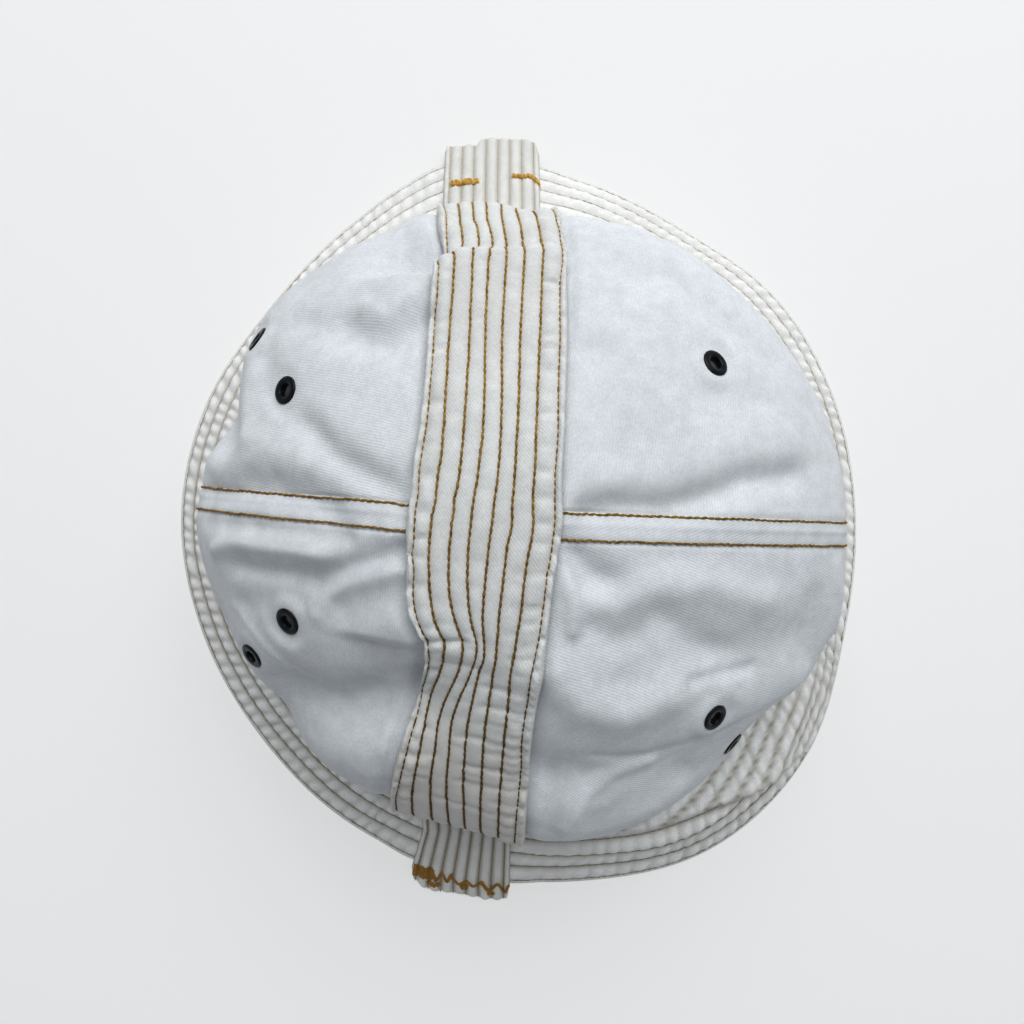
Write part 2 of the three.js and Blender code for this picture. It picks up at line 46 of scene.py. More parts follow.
capForm = {
    "pole": (-9.7, -0.6),
    "shoulder": 99,
    "rootHeight": 22,
    "wallStart": 108,
    "foldEnd": 4,
    "profileSteps": 600,
    "poleMargin": 1.5,
    "seamMargin": 1,
    # radius and height from the pole down to the brim seam
    "profile": (
        (0, 112), (25, 110), (50, 103.5), (70, 95), (81, 89),
        (89, 82.5), (95, 75), (99, 63), (99, 41), (99, 22),
    ),
    # azimuth, shoulder, root, root height, brim crest, crest height, brim edge
    "sections": (
        (0, 103, 98, 22, 118, 12, 137.1),
        (20, 101.5, 97, 23, 117, 13, 137.2),
        (40, 99.5, 95, 24, 116, 14, 137.8),
        (60, 99.5, 94, 24, 115, 14, 135),
        (80, 98.8, 96, 22, 119, 13, 139.8),
        (100, 104, 98, 20, 122, 12, 146),
        (120, 101, 94, 24, 116, 14, 137.2),
        (140, 103, 92, 26, 113, 15, 132.2),
        (160, 99, 93, 24, 114, 13, 135),
        (180, 102, 96, 22, 117, 12, 137),
        (200, 97.5, 96, 22, 117, 12, 136.5),
        (220, 97, 96, 21, 117, 12, 137.2),
        (240, 98.8, 99, 19, 121, 12, 141.4),
        (260, 99.2, 102, 17, 125, 12, 145.4),
        (280, 103, 105, 15, 130, 13, 149.6),
        (300, 102.3, 110, 14, 137, 15, 155.4),
        (320, 102.5, 108, 15, 134, 15, 151.9),
        (340, 104.5, 102, 19, 124, 13, 140.8),
    ),
}

# Folds of the crown seen from above: the line they follow, half width, height
crownFolds = (
    # behind the lip and at the front
    (((-8, 52), (-6, 64)), 26, -4),
    (((-16, -60), (-18, -76)), 24, -4),
    # back left quarter
    (((-92.5, 8.5), (-80.5, 9), (-69.5, 9), (-59, 6.5), (-51.5, 3.5)), 5.0, -3.6),
    (((-90.5, 19), (-72, 20), (-59.5, 16)), 6.0, 1.2),
    (((-58, 26), (-50, 17.5), (-40.5, 12), (-33, 8)), 3.8, -1.5),
    (((-53.5, 29.5), (-44.5, 22.5), (-33.5, 16.5)), 5.5, 1.0),
    (((-75.5, 51), (-71, 40), (-64, 31)), 3.5, -0.9),
    (((-78, 49.5), (-79, 36), (-77.5, 24)), 3.5, 1.5),
    (((-94, 40.5), (-88, 23.5)), 7, -4.0),
    (((-42.5, 58), (-36, 55.5), (-30.5, 60)), 3.4, 1.4),
    (((-48.5, 54), (-40.5, 48), (-34, 47.5), (-26, 54.5)), 4.2, -1.6),
    (((-62.5, 56), (-49.5, 50)), 5, -1.2),
    (((-35.5, 73), (-27, 76)), 6, -1.5),
    (((-20.5, 96), (-6, 97.5), (9, 102.5)), 8, -4.0),
    # front left quarter
    (((-87, -8), (-80, -5.5), (-67, -7), (-54, -8)), 2.8, 2.0),
    (((-92, 0), (-75, -1.5), (-59, -3), (-46, -4.5)), 3.2, -1.6),
    (((-54, -9), (-44.5, -6), (-31.5, -2.5)), 4.0, 1.4),
    (((-79.5, -13), (-71.5, -14), (-55, -15.5), (-42, -12), (-30.5, -9)), 3.2, -2.4),
    (((-54.5, -24), (-51, -19.5), (-44.5, -14.5), (-31.5, -11)), 3.6, 2.6),
    (((-45, -25), (-33, -21)), 5, -1.0),
    (((-67, -52.5), (-52, -54.5), (-31.5, -50)), 10, -8.2),
    (((-78, -22), (-63.5, -23.5), (-51, -21)), 6, -1.6),
    (((-57.5, -29.5), (-45.5, -26.5), (-28.5, -24)), 6, 1.0),
    (((-71.5, -73), (-49.5, -71), (-38.5, -72.5)), 8, 1.0),
    (((-37.5, -48), (-39.5, -65.5)), 2.5, 0.8),
    (((-84, -24.5), (-75.5, -33.5), (-64.5, -47)), 0.55, 0.4),
    (((-80.5, -24), (-73, -32.5), (-62.5, -46)), 2.5, -0.5),
    # back right quarter
    (((17, 2), (26.5, 3.5), (38.5, 3), (50, 6), (61.5, 10.5), (77, 12.5)), 4.4, -3.0),
    (((20, 10.5), (36, 13), (53.5, 18.5), (72.5, 23)), 7, 0.8),
    (((21, 77.5), (35, 69.5)), 6, -1.3),
    (((43, 70), (56.5, 57), (71.5, 47.5)), 5, -1.4),
    (((20, 46), (23, 39.5)), 5.5, -1.0),
    (((20.5, 32), (22.5, 18)), 4.5, -0.8),
    (((13.5, 90.5), (14.5, 72.5)), 3.5, -1.5),
    (((17.5, 60), (21, 54)), 5, 0.7),
    (((50, 34), (67, 34)), 6, -0.7),
    # front right quarter
    (((14, -10), (18, -14), (21.5, -16)), 5.0, -3.8),
    (((11.5, -10), (13, -20), (13, -28)), 2.2, 1.6),
    (((23, -20), (33.5, -17.5), (50, -17), (67, -22)), 5, 1.6),
    (((18, -28.5), (24.5, -31.5), (30.5, -30), (35, -25), (40.5, -28), (46.5, -34), (55.5, -37)), 4.8, -1.4),
    (((10, -33.5), (20.5, -38.5)), 5, 0.5),
    (((51.5, -34.5), (66.5, -37.5), (80, -34.5)), 9, -2.6),
    (((8, -40.5), (16, -48.5), (27, -51.5), (38.5, -47.5)), 6.5, 3.6),
    (((9.5, -73), (24.5, -74), (39.5, -72.5), (58.5, -71), (79.5, -65)), 10, -5.0),
    (((46.5, -44), (53, -43.5), (66, -42)), 2, -1.0),
    (((21, -66.5), (36, -68), (49.5, -65), (58.5, -62.5), (68.5, -59), (87.5, -51.5)), 1.7, -0.9),
    (((52, -72.5), (66.5, -67), (88, -64)), 4, 0.6),
    (((13, -91.5), (18.5, -80), (27.5, -73.5), (37.5, -70.5)), 2.6, 1.6),
    (((23, -89.5), (35, -84), (50, -78)), 5, -1.6),
    (((94, -12.5), (96.5, -24), (96.5, -34.5)), 2.2, 1.0),
    (((85.5, -23), (86, -40)), 4.5, -1.5),
    (((7.5, -75), (9, -93)), 4, -1.0),
)

# Places where the cloth tucks under itself: a crest line that bends back over its first share, the
# rise before it, the drop behind it and the drop's run, how far the rise and the drop reach, how they
# fade past the ends and towards the second end, and the side that the drop lies on
crownTucks = (
    {
        "start": (-34, 72.5), "end": (2, 75.5), "bend": 51, "bendShare": 0.57, "bendMost": 5, "rise": 3.5,
        "drop": 7.5, "run": 5, "before": 12, "after": 16, "taper": 9, "endShare": 0.25, "side": 1,
    },
    {
        "start": (-40, -29.5), "end": (-14, -34), "bend": 0, "bendShare": 0, "bendMost": 0, "rise": 1.0,
        "drop": 2.8, "run": 4, "before": 12, "after": 16, "taper": 7, "endShare": 0.3, "side": -1,
    },
)

# thickness of each cloth, the gap between two of them, and the azimuths where the quarters meet
cloth = {
    "panel": 1.2,
    "strap": 1.6,
    "brim": 2.4,
    "gap": 0.35,
    "seamRight": -2.5,
    "strapBack": 95,
    "seamLeft": 176,
    "strapFront": 259,
}


def smooth(value, low, high):
    share = np.clip((value - low) / (high - low), 0, 1)
    return share * share * (3 - 2 * share)


def window(value, start, full, wane, end):
    # rises from start to full and falls from wane to end
    return smooth(value, start, full) * (1 - smooth(value, wane, end))


def bell(value, width):
    return np.exp(-((value / width) ** 2))


def arch(value):
    # one round arch from each whole number to the next
    return np.abs(np.sin(np.pi * value))


def roundEdge(inside, size):
    # a quarter circle, from 0 on the rim to 1 on the flat face
    return np.sqrt(np.clip(1 - (1 - np.clip(inside / size, 0, 1)) ** 2, 0, 1))


def turnFrom(azimuth, middle):
    return np.mod(azimuth - middle + 180, 360) - 180


def unit(vectors):
    return vectors / np.maximum(np.linalg.norm(vectors, axis=-1, keepdims=True), 1e-9)


def spaced(low, high, step):
    return np.linspace(low, high, max(int(round((high - low) / step)), 1) + 1)


def stationsOver(stretches):
    return np.unique(np.concatenate([spaced(*stretch) for stretch in stretches]))


def tableCurve(rows, place):
    # smooth curve through the rows, whose first column is the place
    rows = np.asarray(rows, float)
    last = len(rows) - 1
    index = np.clip(np.searchsorted(rows[:, 0], place, side="right") - 1, 0, last - 1)
    before, start, end, after = (rows[np.clip(index + step, 0, last)] for step in (-1, 0, 1, 2))
    span = end[..., :1] - start[..., :1]
    share = np.clip((np.asarray(place, float)[..., None] - start[..., :1]) / span, 0, 1)
    startSlope = (end - before) / (end[..., :1] - before[..., :1]) * span
    endSlope = (after - start) / (after[..., :1] - start[..., :1]) * span
    return hermite(start, end, startSlope, endSlope, share)[..., 1:]


def hermite(start, end, startSlope, endSlope, share):
    square, cube = share**2, share**3
    curve = (2 * cube - 3 * square + 1) * start + (cube - 2 * square + share) * startSlope
    return curve + (3 * square - 2 * cube) * end + (cube - square) * endSlope


def sectionAt(azimuth):
    rows = np.asarray(capForm["sections"], float)
    turn = np.zeros(rows.shape[1])
    turn[0] = 360
    around = np.vstack([rows[-3:] - turn, rows, rows[:3] + turn])
    return tableCurve(around, np.mod(azimuth, 360))


def splinePoints(corners, steps):
    # even Catmull-Rom through the corners, which lie along the last axis but one
    count = corners.shape[-2]
    place = np.linspace(0, count - 1, steps)
    index = np.minimum(place.astype(int), count - 2)
    pick = lambda step: np.take(corners, np.clip(index + step, 0, count - 1), axis=-2)
    before, start, end, after = pick(-1), pick(0), pick(1), pick(2)
    return hermite(start, end, (end - before) / 2, (after - start) / 2, (place - index)[:, None])


profileLine = splinePoints(np.array(capForm["profile"], float), capForm["profileSteps"])
profileRun = np.concatenate([[0], np.cumsum(np.hypot(*np.diff(profileLine, axis=0).T))])
clothLength = profileRun[-1]


def profileAt(length):
    length = np.clip(length, 0, clothLength)
    return np.interp(length, profileRun, profileLine[:, 0]), np.interp(length, profileRun, profileLine[:, 1])


def smoothCrown(azimuth, length):
    section = sectionAt(azimuth)
    shoulder, root, rootHeight = section[..., 0], section[..., 1], section[..., 2]
    radius, height = profileAt(length)
    wall = smooth(length, capForm["wallStart"], clothLength)
    poleShare = 1 - radius / capForm["shoulder"]
    reach = radius * shoulder / capForm["shoulder"] + wall * (root - shoulder)
    angle = np.radians(azimuth)
    x = capForm["pole"][0] * poleShare + reach * np.cos(angle)
    y = capForm["pole"][1] * poleShare + reach * np.sin(angle)
    return np.stack([x, y, height + wall * (rootHeight - capForm["rootHeight"])], -1)


def foldsOn(x, y):
    lift = np.zeros_like(x)
    for line, width, height in crownFolds:
        away = np.full_like(x, np.inf)
        for (fromX, fromY), (toX, toY) in zip(line[:-1], line[1:]):
            runX, runY = toX - fromX, toY - fromY
            share = np.clip(((x - fromX) * runX + (y - fromY) * runY) / (runX**2 + runY**2), 0, 1)
            away = np.minimum(away, np.hypot(x - fromX - share * runX, y - fromY - share * runY))
        lift += height * bell(away, width)
    for tuck in crownTucks:
        lift += tuckLift(x, y, tuck)
    return lift


def tuckLift(x, y, tuck):
    (fromX, fromY), (toX, toY) = tuck["start"], tuck["end"]
    run = math.hypot(toX - fromX, toY - fromY)
    alongX, alongY = (toX - fromX) / run, (toY - fromY) / run
    share = ((x - fromX) * alongX + (y - fromY) * alongY) / run
    behind = tuck["side"] * ((y - fromY) * alongX - (x - fromX) * alongY)
    bend = tuck["bend"] * np.maximum(tuck["bendShare"] - share, 0) ** 2
    behind = behind + np.minimum(bend, tuck["bendMost"])
    outside = np.maximum(np.maximum(-share, share - 1), 0) * run
    size = bell(outside, tuck["taper"]) * (1 + (tuck["endShare"] - 1) * np.clip(share, 0, 1))
    rise = tuck["rise"] * bell(np.minimum(behind, 0), tuck["before"])
    low = -tuck["drop"] * bell(np.maximum(behind - tuck["run"], 0), tuck["after"])
    fall = smooth(behind, 0, tuck["run"])
    return size * (rise * (1 - fall) + low * fall)


# the folds are worked out once on a fine grid and read from it
foldGrid = {"reach": 130, "step": 0.4}
foldPlaces = np.arange(-foldGrid["reach"], foldGrid["reach"] + 0.1, foldGrid["step"])
foldTable = foldsOn(*np.meshgrid(foldPlaces, foldPlaces, indexing="ij"))


def mixFour(table, column, row, shareX, shareY):
    # value between four neighbours of a table, which is read as table(column, row)
    low = table(column, row) * (1 - shareX) + table(column + 1, row) * shareX
    high = table(column, row + 1) * (1 - shareX) + table(column + 1, row + 1) * shareX
    return low * (1 - shareY) + high * shareY


def foldLift(x, y):
    last = len(foldPlaces) - 2.001  # just inside the last cell
    placeX, placeY = (np.clip((value + foldGrid["reach"]) / foldGrid["step"], 0, last) for value in (x, y))
    column, row = placeX.astype(int), placeY.astype(int)
    return mixFour(lambda right, up: foldTable[right, up], column, row, placeX - column, placeY - row)


def softNoise(x, y, seed):
    # smooth random hills, about one unit across, from -1 to 1, which repeat every 64 units;
    # odd shifts between rows keep neighbours from looking alike
    lattice = np.random.default_rng(seed).uniform(-1, 1, (64, 64))
    column, row = np.floor(x).astype(int), np.floor(y).astype(int)
    shareX, shareY = smooth(x - column, 0, 1), smooth(y - row, 0, 1)
    return mixFour(lambda right, up: lattice[up % 64, right % 64], column, row, shareX, shareY)


def normalsOf(surface, across, along, stepAcross, stepAlong):
    first = surface(across + stepAcross, along) - surface(across - stepAcross, along)
    second = surface(across, along + stepAlong) - surface(across, along - stepAlong)
    return unit(np.cross(first, second))


def crown(azimuth, length):
    azimuth, length = np.broadcast_arrays(np.asarray(azimuth, float), np.asarray(length, float))
    point = smoothCrown(azimuth, length)
    fade = 1 - smooth(length, capForm["wallStart"], clothLength - capForm["foldEnd"])
    normal = -normalsOf(smoothCrown, azimuth, offRims(length), 0.5, 0.5)
    return point + normal * (foldLift(point[..., 0], point[..., 1]) * fade)[..., None]


def offRims(length):
    # normals are taken a little inside the pole and the brim seam
    return np.clip(length, capForm["poleMargin"], clothLength - capForm["seamMargin"])


def crownNormal(azimuth, length):
    azimuth, inside = np.broadcast_arrays(np.asarray(azimuth, float), offRims(length))
    return -normalsOf(crown, azimuth, inside, 0.7, 0.7)


def overCrown(azimuth, length, height):
    # the crown's folded face, moved out by a height at each point
    return crown(azimuth, length) + crownNormal(azimuth, length) * np.asarray(height)[..., None]


def newMesh(name, points, edges, faces):
    # points in millimetres
    mesh = bpy.data.meshes.new(name)
    mesh.from_pydata((np.asarray(points) * mm).tolist(), edges, faces)
    return mesh


def newObject(name, data):
    thing = bpy.data.objects.new(name, data)
    bpy.context.scene.collection.objects.link(thing)
    return thing


def addPiece(name, mesh, replaced=None, material=None):
    mesh.polygons.foreach_set("use_smooth", [True] * len(mesh.polygons))
    if material:
        mesh.materials.append(material)
    piece = newObject(name, mesh)
    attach(piece, "root")
    if replaced:
        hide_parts(replaced)


def gridMesh(name, outer, inner, place, ring=False, kept=None, shadeAndGrime=0.0):
    # a closed piece of cloth between two grids of points, with its cloth places as UV
    # and a mask of painted shade, with some grime, in its creases, from 0 to 1
    rows, columns = outer.shape[:2]
    size = rows * columns
    index = np.arange(size).reshape(rows, columns)
    if ring:
        index = np.hstack([index, index[:, :1]])
    quads = np.stack([index[:-1, :-1], index[1:, :-1], index[1:, 1:], index[:-1, 1:]], -1)
    quads = quads[kept] if kept is not None else quads.reshape(-1, 4)
    edges = np.vstack([quads[:, [corner, (corner + 1) % 4]] for corner in range(4)])
    forward = edges[:, 0] * size + edges[:, 1]
    backward = edges[:, 1] * size + edges[:, 0]
    rim = edges[~np.isin(forward, backward)]
    walls = np.stack([rim[:, 1], rim[:, 0], rim[:, 0] + size, rim[:, 1] + size], -1)
    faces = np.vstack([quads, quads[:, ::-1] + size, walls])
    points = np.vstack([outer.reshape(-1, 3), inner.reshape(-1, 3)])
    corners = points[faces]
    turned = np.cross(corners[:, 2] - corners[:, 0], corners[:, 3] - corners[:, 1])
    if (corners.mean(1) * turned).sum() < 0:
        faces = faces[:, ::-1]
    mesh = newMesh(name, points, [], faces.tolist())
    flat = np.tile(place.reshape(-1, 2), (2, 1))[faces.reshape(-1)] * mm
    mesh.uv_layers.new(name="clothPlace").data.foreach_set("uv", flat.astype(np.float32).ravel())
    shadeMask = np.zeros(2 * size, np.float32)
    shadeMask[:size] = np.ravel(shadeAndGrime)
    mesh.attributes.new("creaseShadeAndGrime", "FLOAT", "POINT").data.foreach_set("value", shadeMask)
    work = bmesh.new()
    work.from_mesh(mesh)
    bmesh.ops.remove_doubles(work, verts=work.verts, dist=2e-6)
    bmesh.ops.dissolve_degenerate(work, edges=work.edges, dist=1e-7)
    loose = [vertex for vertex in work.verts if not vertex.link_faces]
    bmesh.ops.delete(work, geom=loose, context="VERTS")
    work.to_mesh(mesh)
    work.free()
    return mesh


strap = {
    "rise": 0.8,
    "pucker": 6.4,
    "puckerWidth": 0.17,
    "puckerDepth": 0.85,
    "ripple": 0.22,
    "wave": 0.3,
    "hem": 0.16,
    "hemTwist": 2.6,
    "creaseWidth": 0.95,
    "bed": 1.1,
    "bedMargin": 4,
    "swingEnd": 49.5,
    "round": 0.9,
    "endGap": 0.6,
    # stretches of the strap, and the steps along them
    "stretches": ((None, -40, 0.9), (-40, -26, 0.6), (-26, 68, 0.9), (68, 84, 0.5), (84, None, 0.9)),
    # length along the cloth from the pole, left edge, the eight rows of stitches, right edge
    "lanes": (
        (-158, -45.5, -43.4, -37, -29.5, -23, -17.2, -12, -6.5, -1.5, 1.2),
        (-98, -42.8, -40.7, -34.8, -28.2, -22.5, -17.2, -12, -6.5, -1.5, 1.3),
        (-90, -41.5, -39.2, -34.2, -28, -22.6, -17, -11.8, -6.4, -1.3, 1.4),
        (-80, -39.3, -36.8, -32.5, -27.2, -22.2, -16.9, -11.5, -6.1, -1, 1.6),
        (-70, -36.5, -33.9, -30.1, -25.4, -21, -16.2, -10.9, -5.5, -0.5, 2),
        (-60, -33.4, -31.2, -27.9, -23.6, -19.8, -15.2, -10.1, -4.6, 0, 2.6),
        (-50, -30.4, -28.9, -25.2, -20.4, -17, -13.3, -8.8, -3.7, 1, 3.5),
        (-40, -27.3, -25.7, -21.8, -16.8, -13.4, -11.2, -7.4, -2.9, 2.3, 4.6),
        (-35, -26.4, -24.9, -20.8, -15.7, -12, -9.9, -6.8, -2.4, 2.9, 5.1),
        (-31, -26.2, -24.9, -20.4, -15.4, -11.6, -9.7, -6.5, -2, 3.4, 5.5),
        (-24, -29.8, -27.6, -22.9, -17.4, -13.1, -10, -6, -1.1, 4.2, 6.2),
        (-17, -31.2, -28.8, -24.2, -18.7, -13.8, -9.5, -5.3, -0.3, 4.8, 6.7),
        (-6, -31.1, -29, -24.6, -18.9, -13.7, -8.5, -4.2, 0.7, 5.3, 7.3),
        (4, -30.2, -28, -23, -17.5, -12.5, -7.3, -3, 1.6, 6.4, 8.3),
        (11, -28.7, -26.5, -21.3, -16, -11.2, -6.3, -2.2, 2.4, 7.3, 9.1),
        (22, -27, -24.9, -20.2, -14.7, -10, -5.5, -1.4, 3.3, 8.5, 10.3),
        (33, -26.3, -24.2, -19.7, -14.2, -9.6, -5.2, -0.7, 4, 9.2, 11.2),
        (45, -25.7, -23.6, -19.4, -13.8, -9.6, -5.1, -0.3, 4.8, 10, 12.1),
        (58, -25.1, -23, -18.8, -13.6, -9.4, -4.8, 0.2, 5.5, 10.7, 12.8),
        (70, -24, -22.3, -18.2, -13.3, -9.1, -4.3, 0.7, 5.9, 11.1, 13.2),
        (76, -23, -21.8, -17.8, -13, -8.6, -4.1, 0.9, 6.1, 11.3, 13.2),
        (83, -23.2, -21.8, -16.7, -11.6, -7.6, -3.6, 1, 6.4, 11.5, 13),
        (90, -24.7, -22.5, -17.2, -12.2, -8.5, -4.4, 0.6, 5.9, 11.2, 12.7),
        (96, -25.6, -23.3, -18.1, -13.5, -9.4, -4.8, 0, 5.2, 10.6, 12.4),
        (158, -30.3, -28, -22.5, -17.5, -12.7, -8, -3, 2.2, 7.2, 9.5),
    ),
    # cross creases: length along the cloth, from row, to row, depth
    "creases": (
        (-30.5, -0.6, 3.3, 1.1), (-13, 6.6, 8.6, 0.5), (-22, 7, 8.8, 0.35), (-33.5, 6.8, 8.8, 0.4),
        (-43.5, 5.4, 8.9, 0.7), (-50, 5.6, 8.9, 0.75), (-56, 5.8, 8, 0.4), (-62, 4.4, 8.6, 0.7),
        (-66, 6, 8.2, 0.6), (-72.5, 5, 8.4, 0.8), (-79, 4.6, 8.8, 0.7), (-84.5, 6.6, 8.8, 0.55),
        (-90, 3.2, 8.2, 0.6), (-63, 0.4, 2.4, 0.5), (-71, 1, 3.4, 0.45), (-81, 0.6, 2.8, 0.5),
        (-90, 0.3, 2.2, 0.55),
    ),
    # the front end, which lies in shade, is painted darker: how much, and from where to where
    "frontShade": (0.9, 38, 80),
}
# places across the strap and the tabs: whole numbers are the edges and the eight rows of stitches
laneSteps = (0, 0.06, 0.16, 0.32, 0.5, 0.68, 0.84, 0.94)
rowLanes = np.array([whole + step for whole in range(9) for step in laneSteps] + [9])


def strapPlace(along, x):
    length = np.abs(along)
    radius, _ = profileAt(length)
    poleShare = 1 - radius / capForm["shoulder"]
    stretch = np.where(length < capForm["poleMargin"], 1, length / np.maximum(radius, 0.01))
    across = (x - capForm["pole"][0] * poleShare) * stretch
    ringShare = 1 - smooth(length, strap["swingEnd"], capForm["wallStart"])
    return np.degrees(np.arctan2(along, across)), np.hypot(length, across * ringShare)


def strapEdges(along):
    lanes = tableCurve(strap["lanes"], along)
    return lanes[..., 0], lanes[..., -1]


def strapX(along, lane):
    lanes = tableCurve(strap["lanes"], along)
    index = np.clip(np.floor(lane).astype(int), 0, lanes.shape[-1] - 2)
    share = lane - index
    pick = lambda step: np.take_along_axis(lanes, (index + step)[..., None], -1)[..., 0]
    return pick(0) * (1 - share) + pick(1) * share


def strapRelief(along, lane):
    # low ridges between the rows of stitches, puckers along the margins and cross creases
    channel = np.floor(lane)
    ridge = arch(lane) ** 0.7
    margin = np.maximum(smooth(lane, 2.6, 1.6), smooth(lane, 6.4, 7.4))
    phase = along / strap["pucker"] + channel * 0.41 + 0.5 * softNoise(along / 9, channel * 3.7, 14)
    nearest = np.round(phase)
    strength = 0.6 + 0.6 * softNoise(nearest * 1.7 + 0.3, channel * 5.3 + 0.5, 15)
    pucker = strength * bell(phase - nearest, strap["puckerWidth"]) * (0.35 + 0.65 * margin)
    height = strap["rise"] * ridge * (1.1 + 0.5 * margin) * (1 - strap["puckerDepth"] * pucker)
    height += strap["ripple"] * softNoise(along / 3.4, lane * 1.3, 11) * (0.4 + 0.6 * margin)
    height += strap["wave"] * softNoise(along / 11, lane / 2.2, 12)
    # the folded edges outside the first and the last row twist like rope
    hem = strap["hem"] * np.maximum(1 - smooth(lane, 0.8, 1.0), smooth(lane, 8.0, 8.2))
    height += hem * np.sin(2 * np.pi * (along / strap["hemTwist"] + lane * 0.8)) * ridge
    for at, fromRow, toRow, depth in strap["creases"]:
        reach = window(lane, fromRow - 0.5, fromRow + 0.3, toRow - 0.3, toRow + 0.5)
        bend = at + 0.7 * softNoise(lane * 0.9, np.full_like(lane, at), 13)
        height -= depth * reach * np.exp(-np.abs((along - bend) / strap["creaseWidth"]) ** 1.6)
    return height


def strapSurface(along, lane, lift=0.0):
    x = strapX(along, lane)
    azimuth, length = strapPlace(along, x)
    left, right = strapEdges(along)
    edge = roundEdge(np.minimum(x - left, right - x), strap["round"])
    height = cloth["gap"] + cloth["strap"] * (0.25 + 0.75 * edge) - strap["rise"] * 0.6
    return overCrown(azimuth, length, height + strapRelief(along, lane) * edge + lift)


def makeStrap():
    end = clothLength - strap["endGap"]
    stretches = [(low or -end, high or end, step) for low, high, step in strap["stretches"]]
    along, lane = np.meshgrid(stationsOver(stretches), rowLanes, indexing="ij")
    outer = strapSurface(along, lane)
    x = strapX(along, lane)
    inner = overCrown(*strapPlace(along, x), cloth["gap"])
    place = np.stack([x, along], -1)
    frontShadeShare, fromFront, toFront = strap["frontShade"]
    # painted shade, with some grime, along the rows, and painted shade over the front end
    shadeAndGrime = np.maximum((1 - arch(lane) ** 0.5) ** 1.5, frontShadeShare * smooth(-along, fromFront, toFront))
    return gridMesh("strapCloth", outer, inner, place, shadeAndGrime=shadeAndGrime)


panel = {
    "step": 1.1,
    "columns": 132,
    "punch": 3.1,
    "ripple": 0.28,
    "draw": 0.35,
    "seamBed": 0.42,
    # strap side, seam side, lean of the twill, its contrast, and the share of the cloth's brightness, which
    # paints shade onto the front left quarter
    "quarters": {
        "crown_back_right": (cloth["strapBack"], cloth["seamRight"], 10, 0.17, 1.0),
        "crown_back_left": (cloth["strapBack"], cloth["seamLeft"], -78, 0.13, 0.98),
        "crown_front_left": (cloth["strapFront"], cloth["seamLeft"], 12, 0.18, 0.915),
        "crown_front_right": (cloth["strapFront"], cloth["seamRight"] + 360, -66, 0.36, 0.985),
    },
}
eyelet = {
    "flange": 4.0,
    "barrel": 2.5,
    "hole": 1.9,
    "height": 0.5,
    "clearance": 0.12,
    "reach": 8,
    "sides": 40,
    # where they stand on the crown and the way they tip: azimuth, length, towards azimuth, degrees
    "places": {
        "eyelet_back_right_upper": (37.8, 73.8, 45, 14),
        "eyelet_back_right_lower": (37, 122, 0, 0),
        "eyelet_back_left_upper": (150, 74.5, 150, 3),
        "eyelet_back_left_lower": (145.2, 98.6, 146, 24),
        "eyelet_front_left_upper": (204, 71.8, 262, 20),
        "eyelet_front_left_lower": (207, 97.3, 236, -2),
        "eyelet_front_right_upper": (315.6, 80.6, 20, 12),
        "eyelet_front_right_lower": (313.5, 109, 314, 6),
    },
}


def panelRipple(azimuth, length):
    # slight unevenness of washed cloth, and puckers where the side seams draw it in
    x, y, z = np.moveaxis(smoothCrown(azimuth, length), -1, 0)
    height = panel["ripple"] * softNoise(x / 14 + 3, y / 14 + z / 20, 21)
    height += 0.5 * panel["ripple"] * softNoise(x / 6.5, y / 6.5 + z / 9, 22)
    for seam in (cloth["seamRight"], cloth["seamLeft"]):
        turn = np.radians(turnFrom(azimuth, seam))
        away = np.where(np.abs(turn) < 1, np.abs(turn) * profileAt(length)[0], 50)
        height = height * smooth(away, 3, 8)
        height += panel["draw"] * bell(away - 7, 2.6) * softNoise(length / 4.2, np.sign(turn) * 3 + seam, 23)
        height -= panel["seamBed"] * (1 - smooth(away, 3.5, 4.7))
    return height * window(length, 6, 20, clothLength - 12, clothLength - 3)


def bedDepth(azimuth, length):
    # how far the strap presses the cloth in
    left, right = strapEdges(length * np.sin(np.radians(azimuth)))
    x = smoothCrown(azimuth, length)[..., 0]
    return strap["bed"] * (1 - smooth(np.maximum(left - x, x - right), 0, strap["bedMargin"]))


def panelSurface(azimuth, length, depth=0.0):
    return overCrown(azimuth, length, panelRipple(azimuth, length) - depth - bedDepth(azimuth, length))


def eyeletFrame(azimuth, length, towards, tip):
    # centre in the cloth, the mean way up out of it round about, and two ways across
    centre = panelSurface(np.array([azimuth]), np.array([length]), cloth["panel"] / 2)[0]
    step = eyelet["barrel"]
    turns = azimuth + np.degrees(step / profileAt(length)[0]) * np.repeat([-1, 0, 1], 3)
    near = crownNormal(turns, length + step * np.tile([-1, 0, 1], 3))
    aim = math.radians(towards)
    lean = math.sin(math.radians(tip)) * np.array([math.cos(aim), math.sin(aim), 0])
    normal = unit(unit(near.mean(0)) + lean)
    across = unit(np.cross([0, 0, 1], normal))
    return centre, normal, across, np.cross(normal, across)


def heightAndLevel(points, centre, normal):
    # height of the points above an eyelet's plane, and their places in it
    height = (points - centre) @ normal
    return height, points - centre - height[..., None] * normal


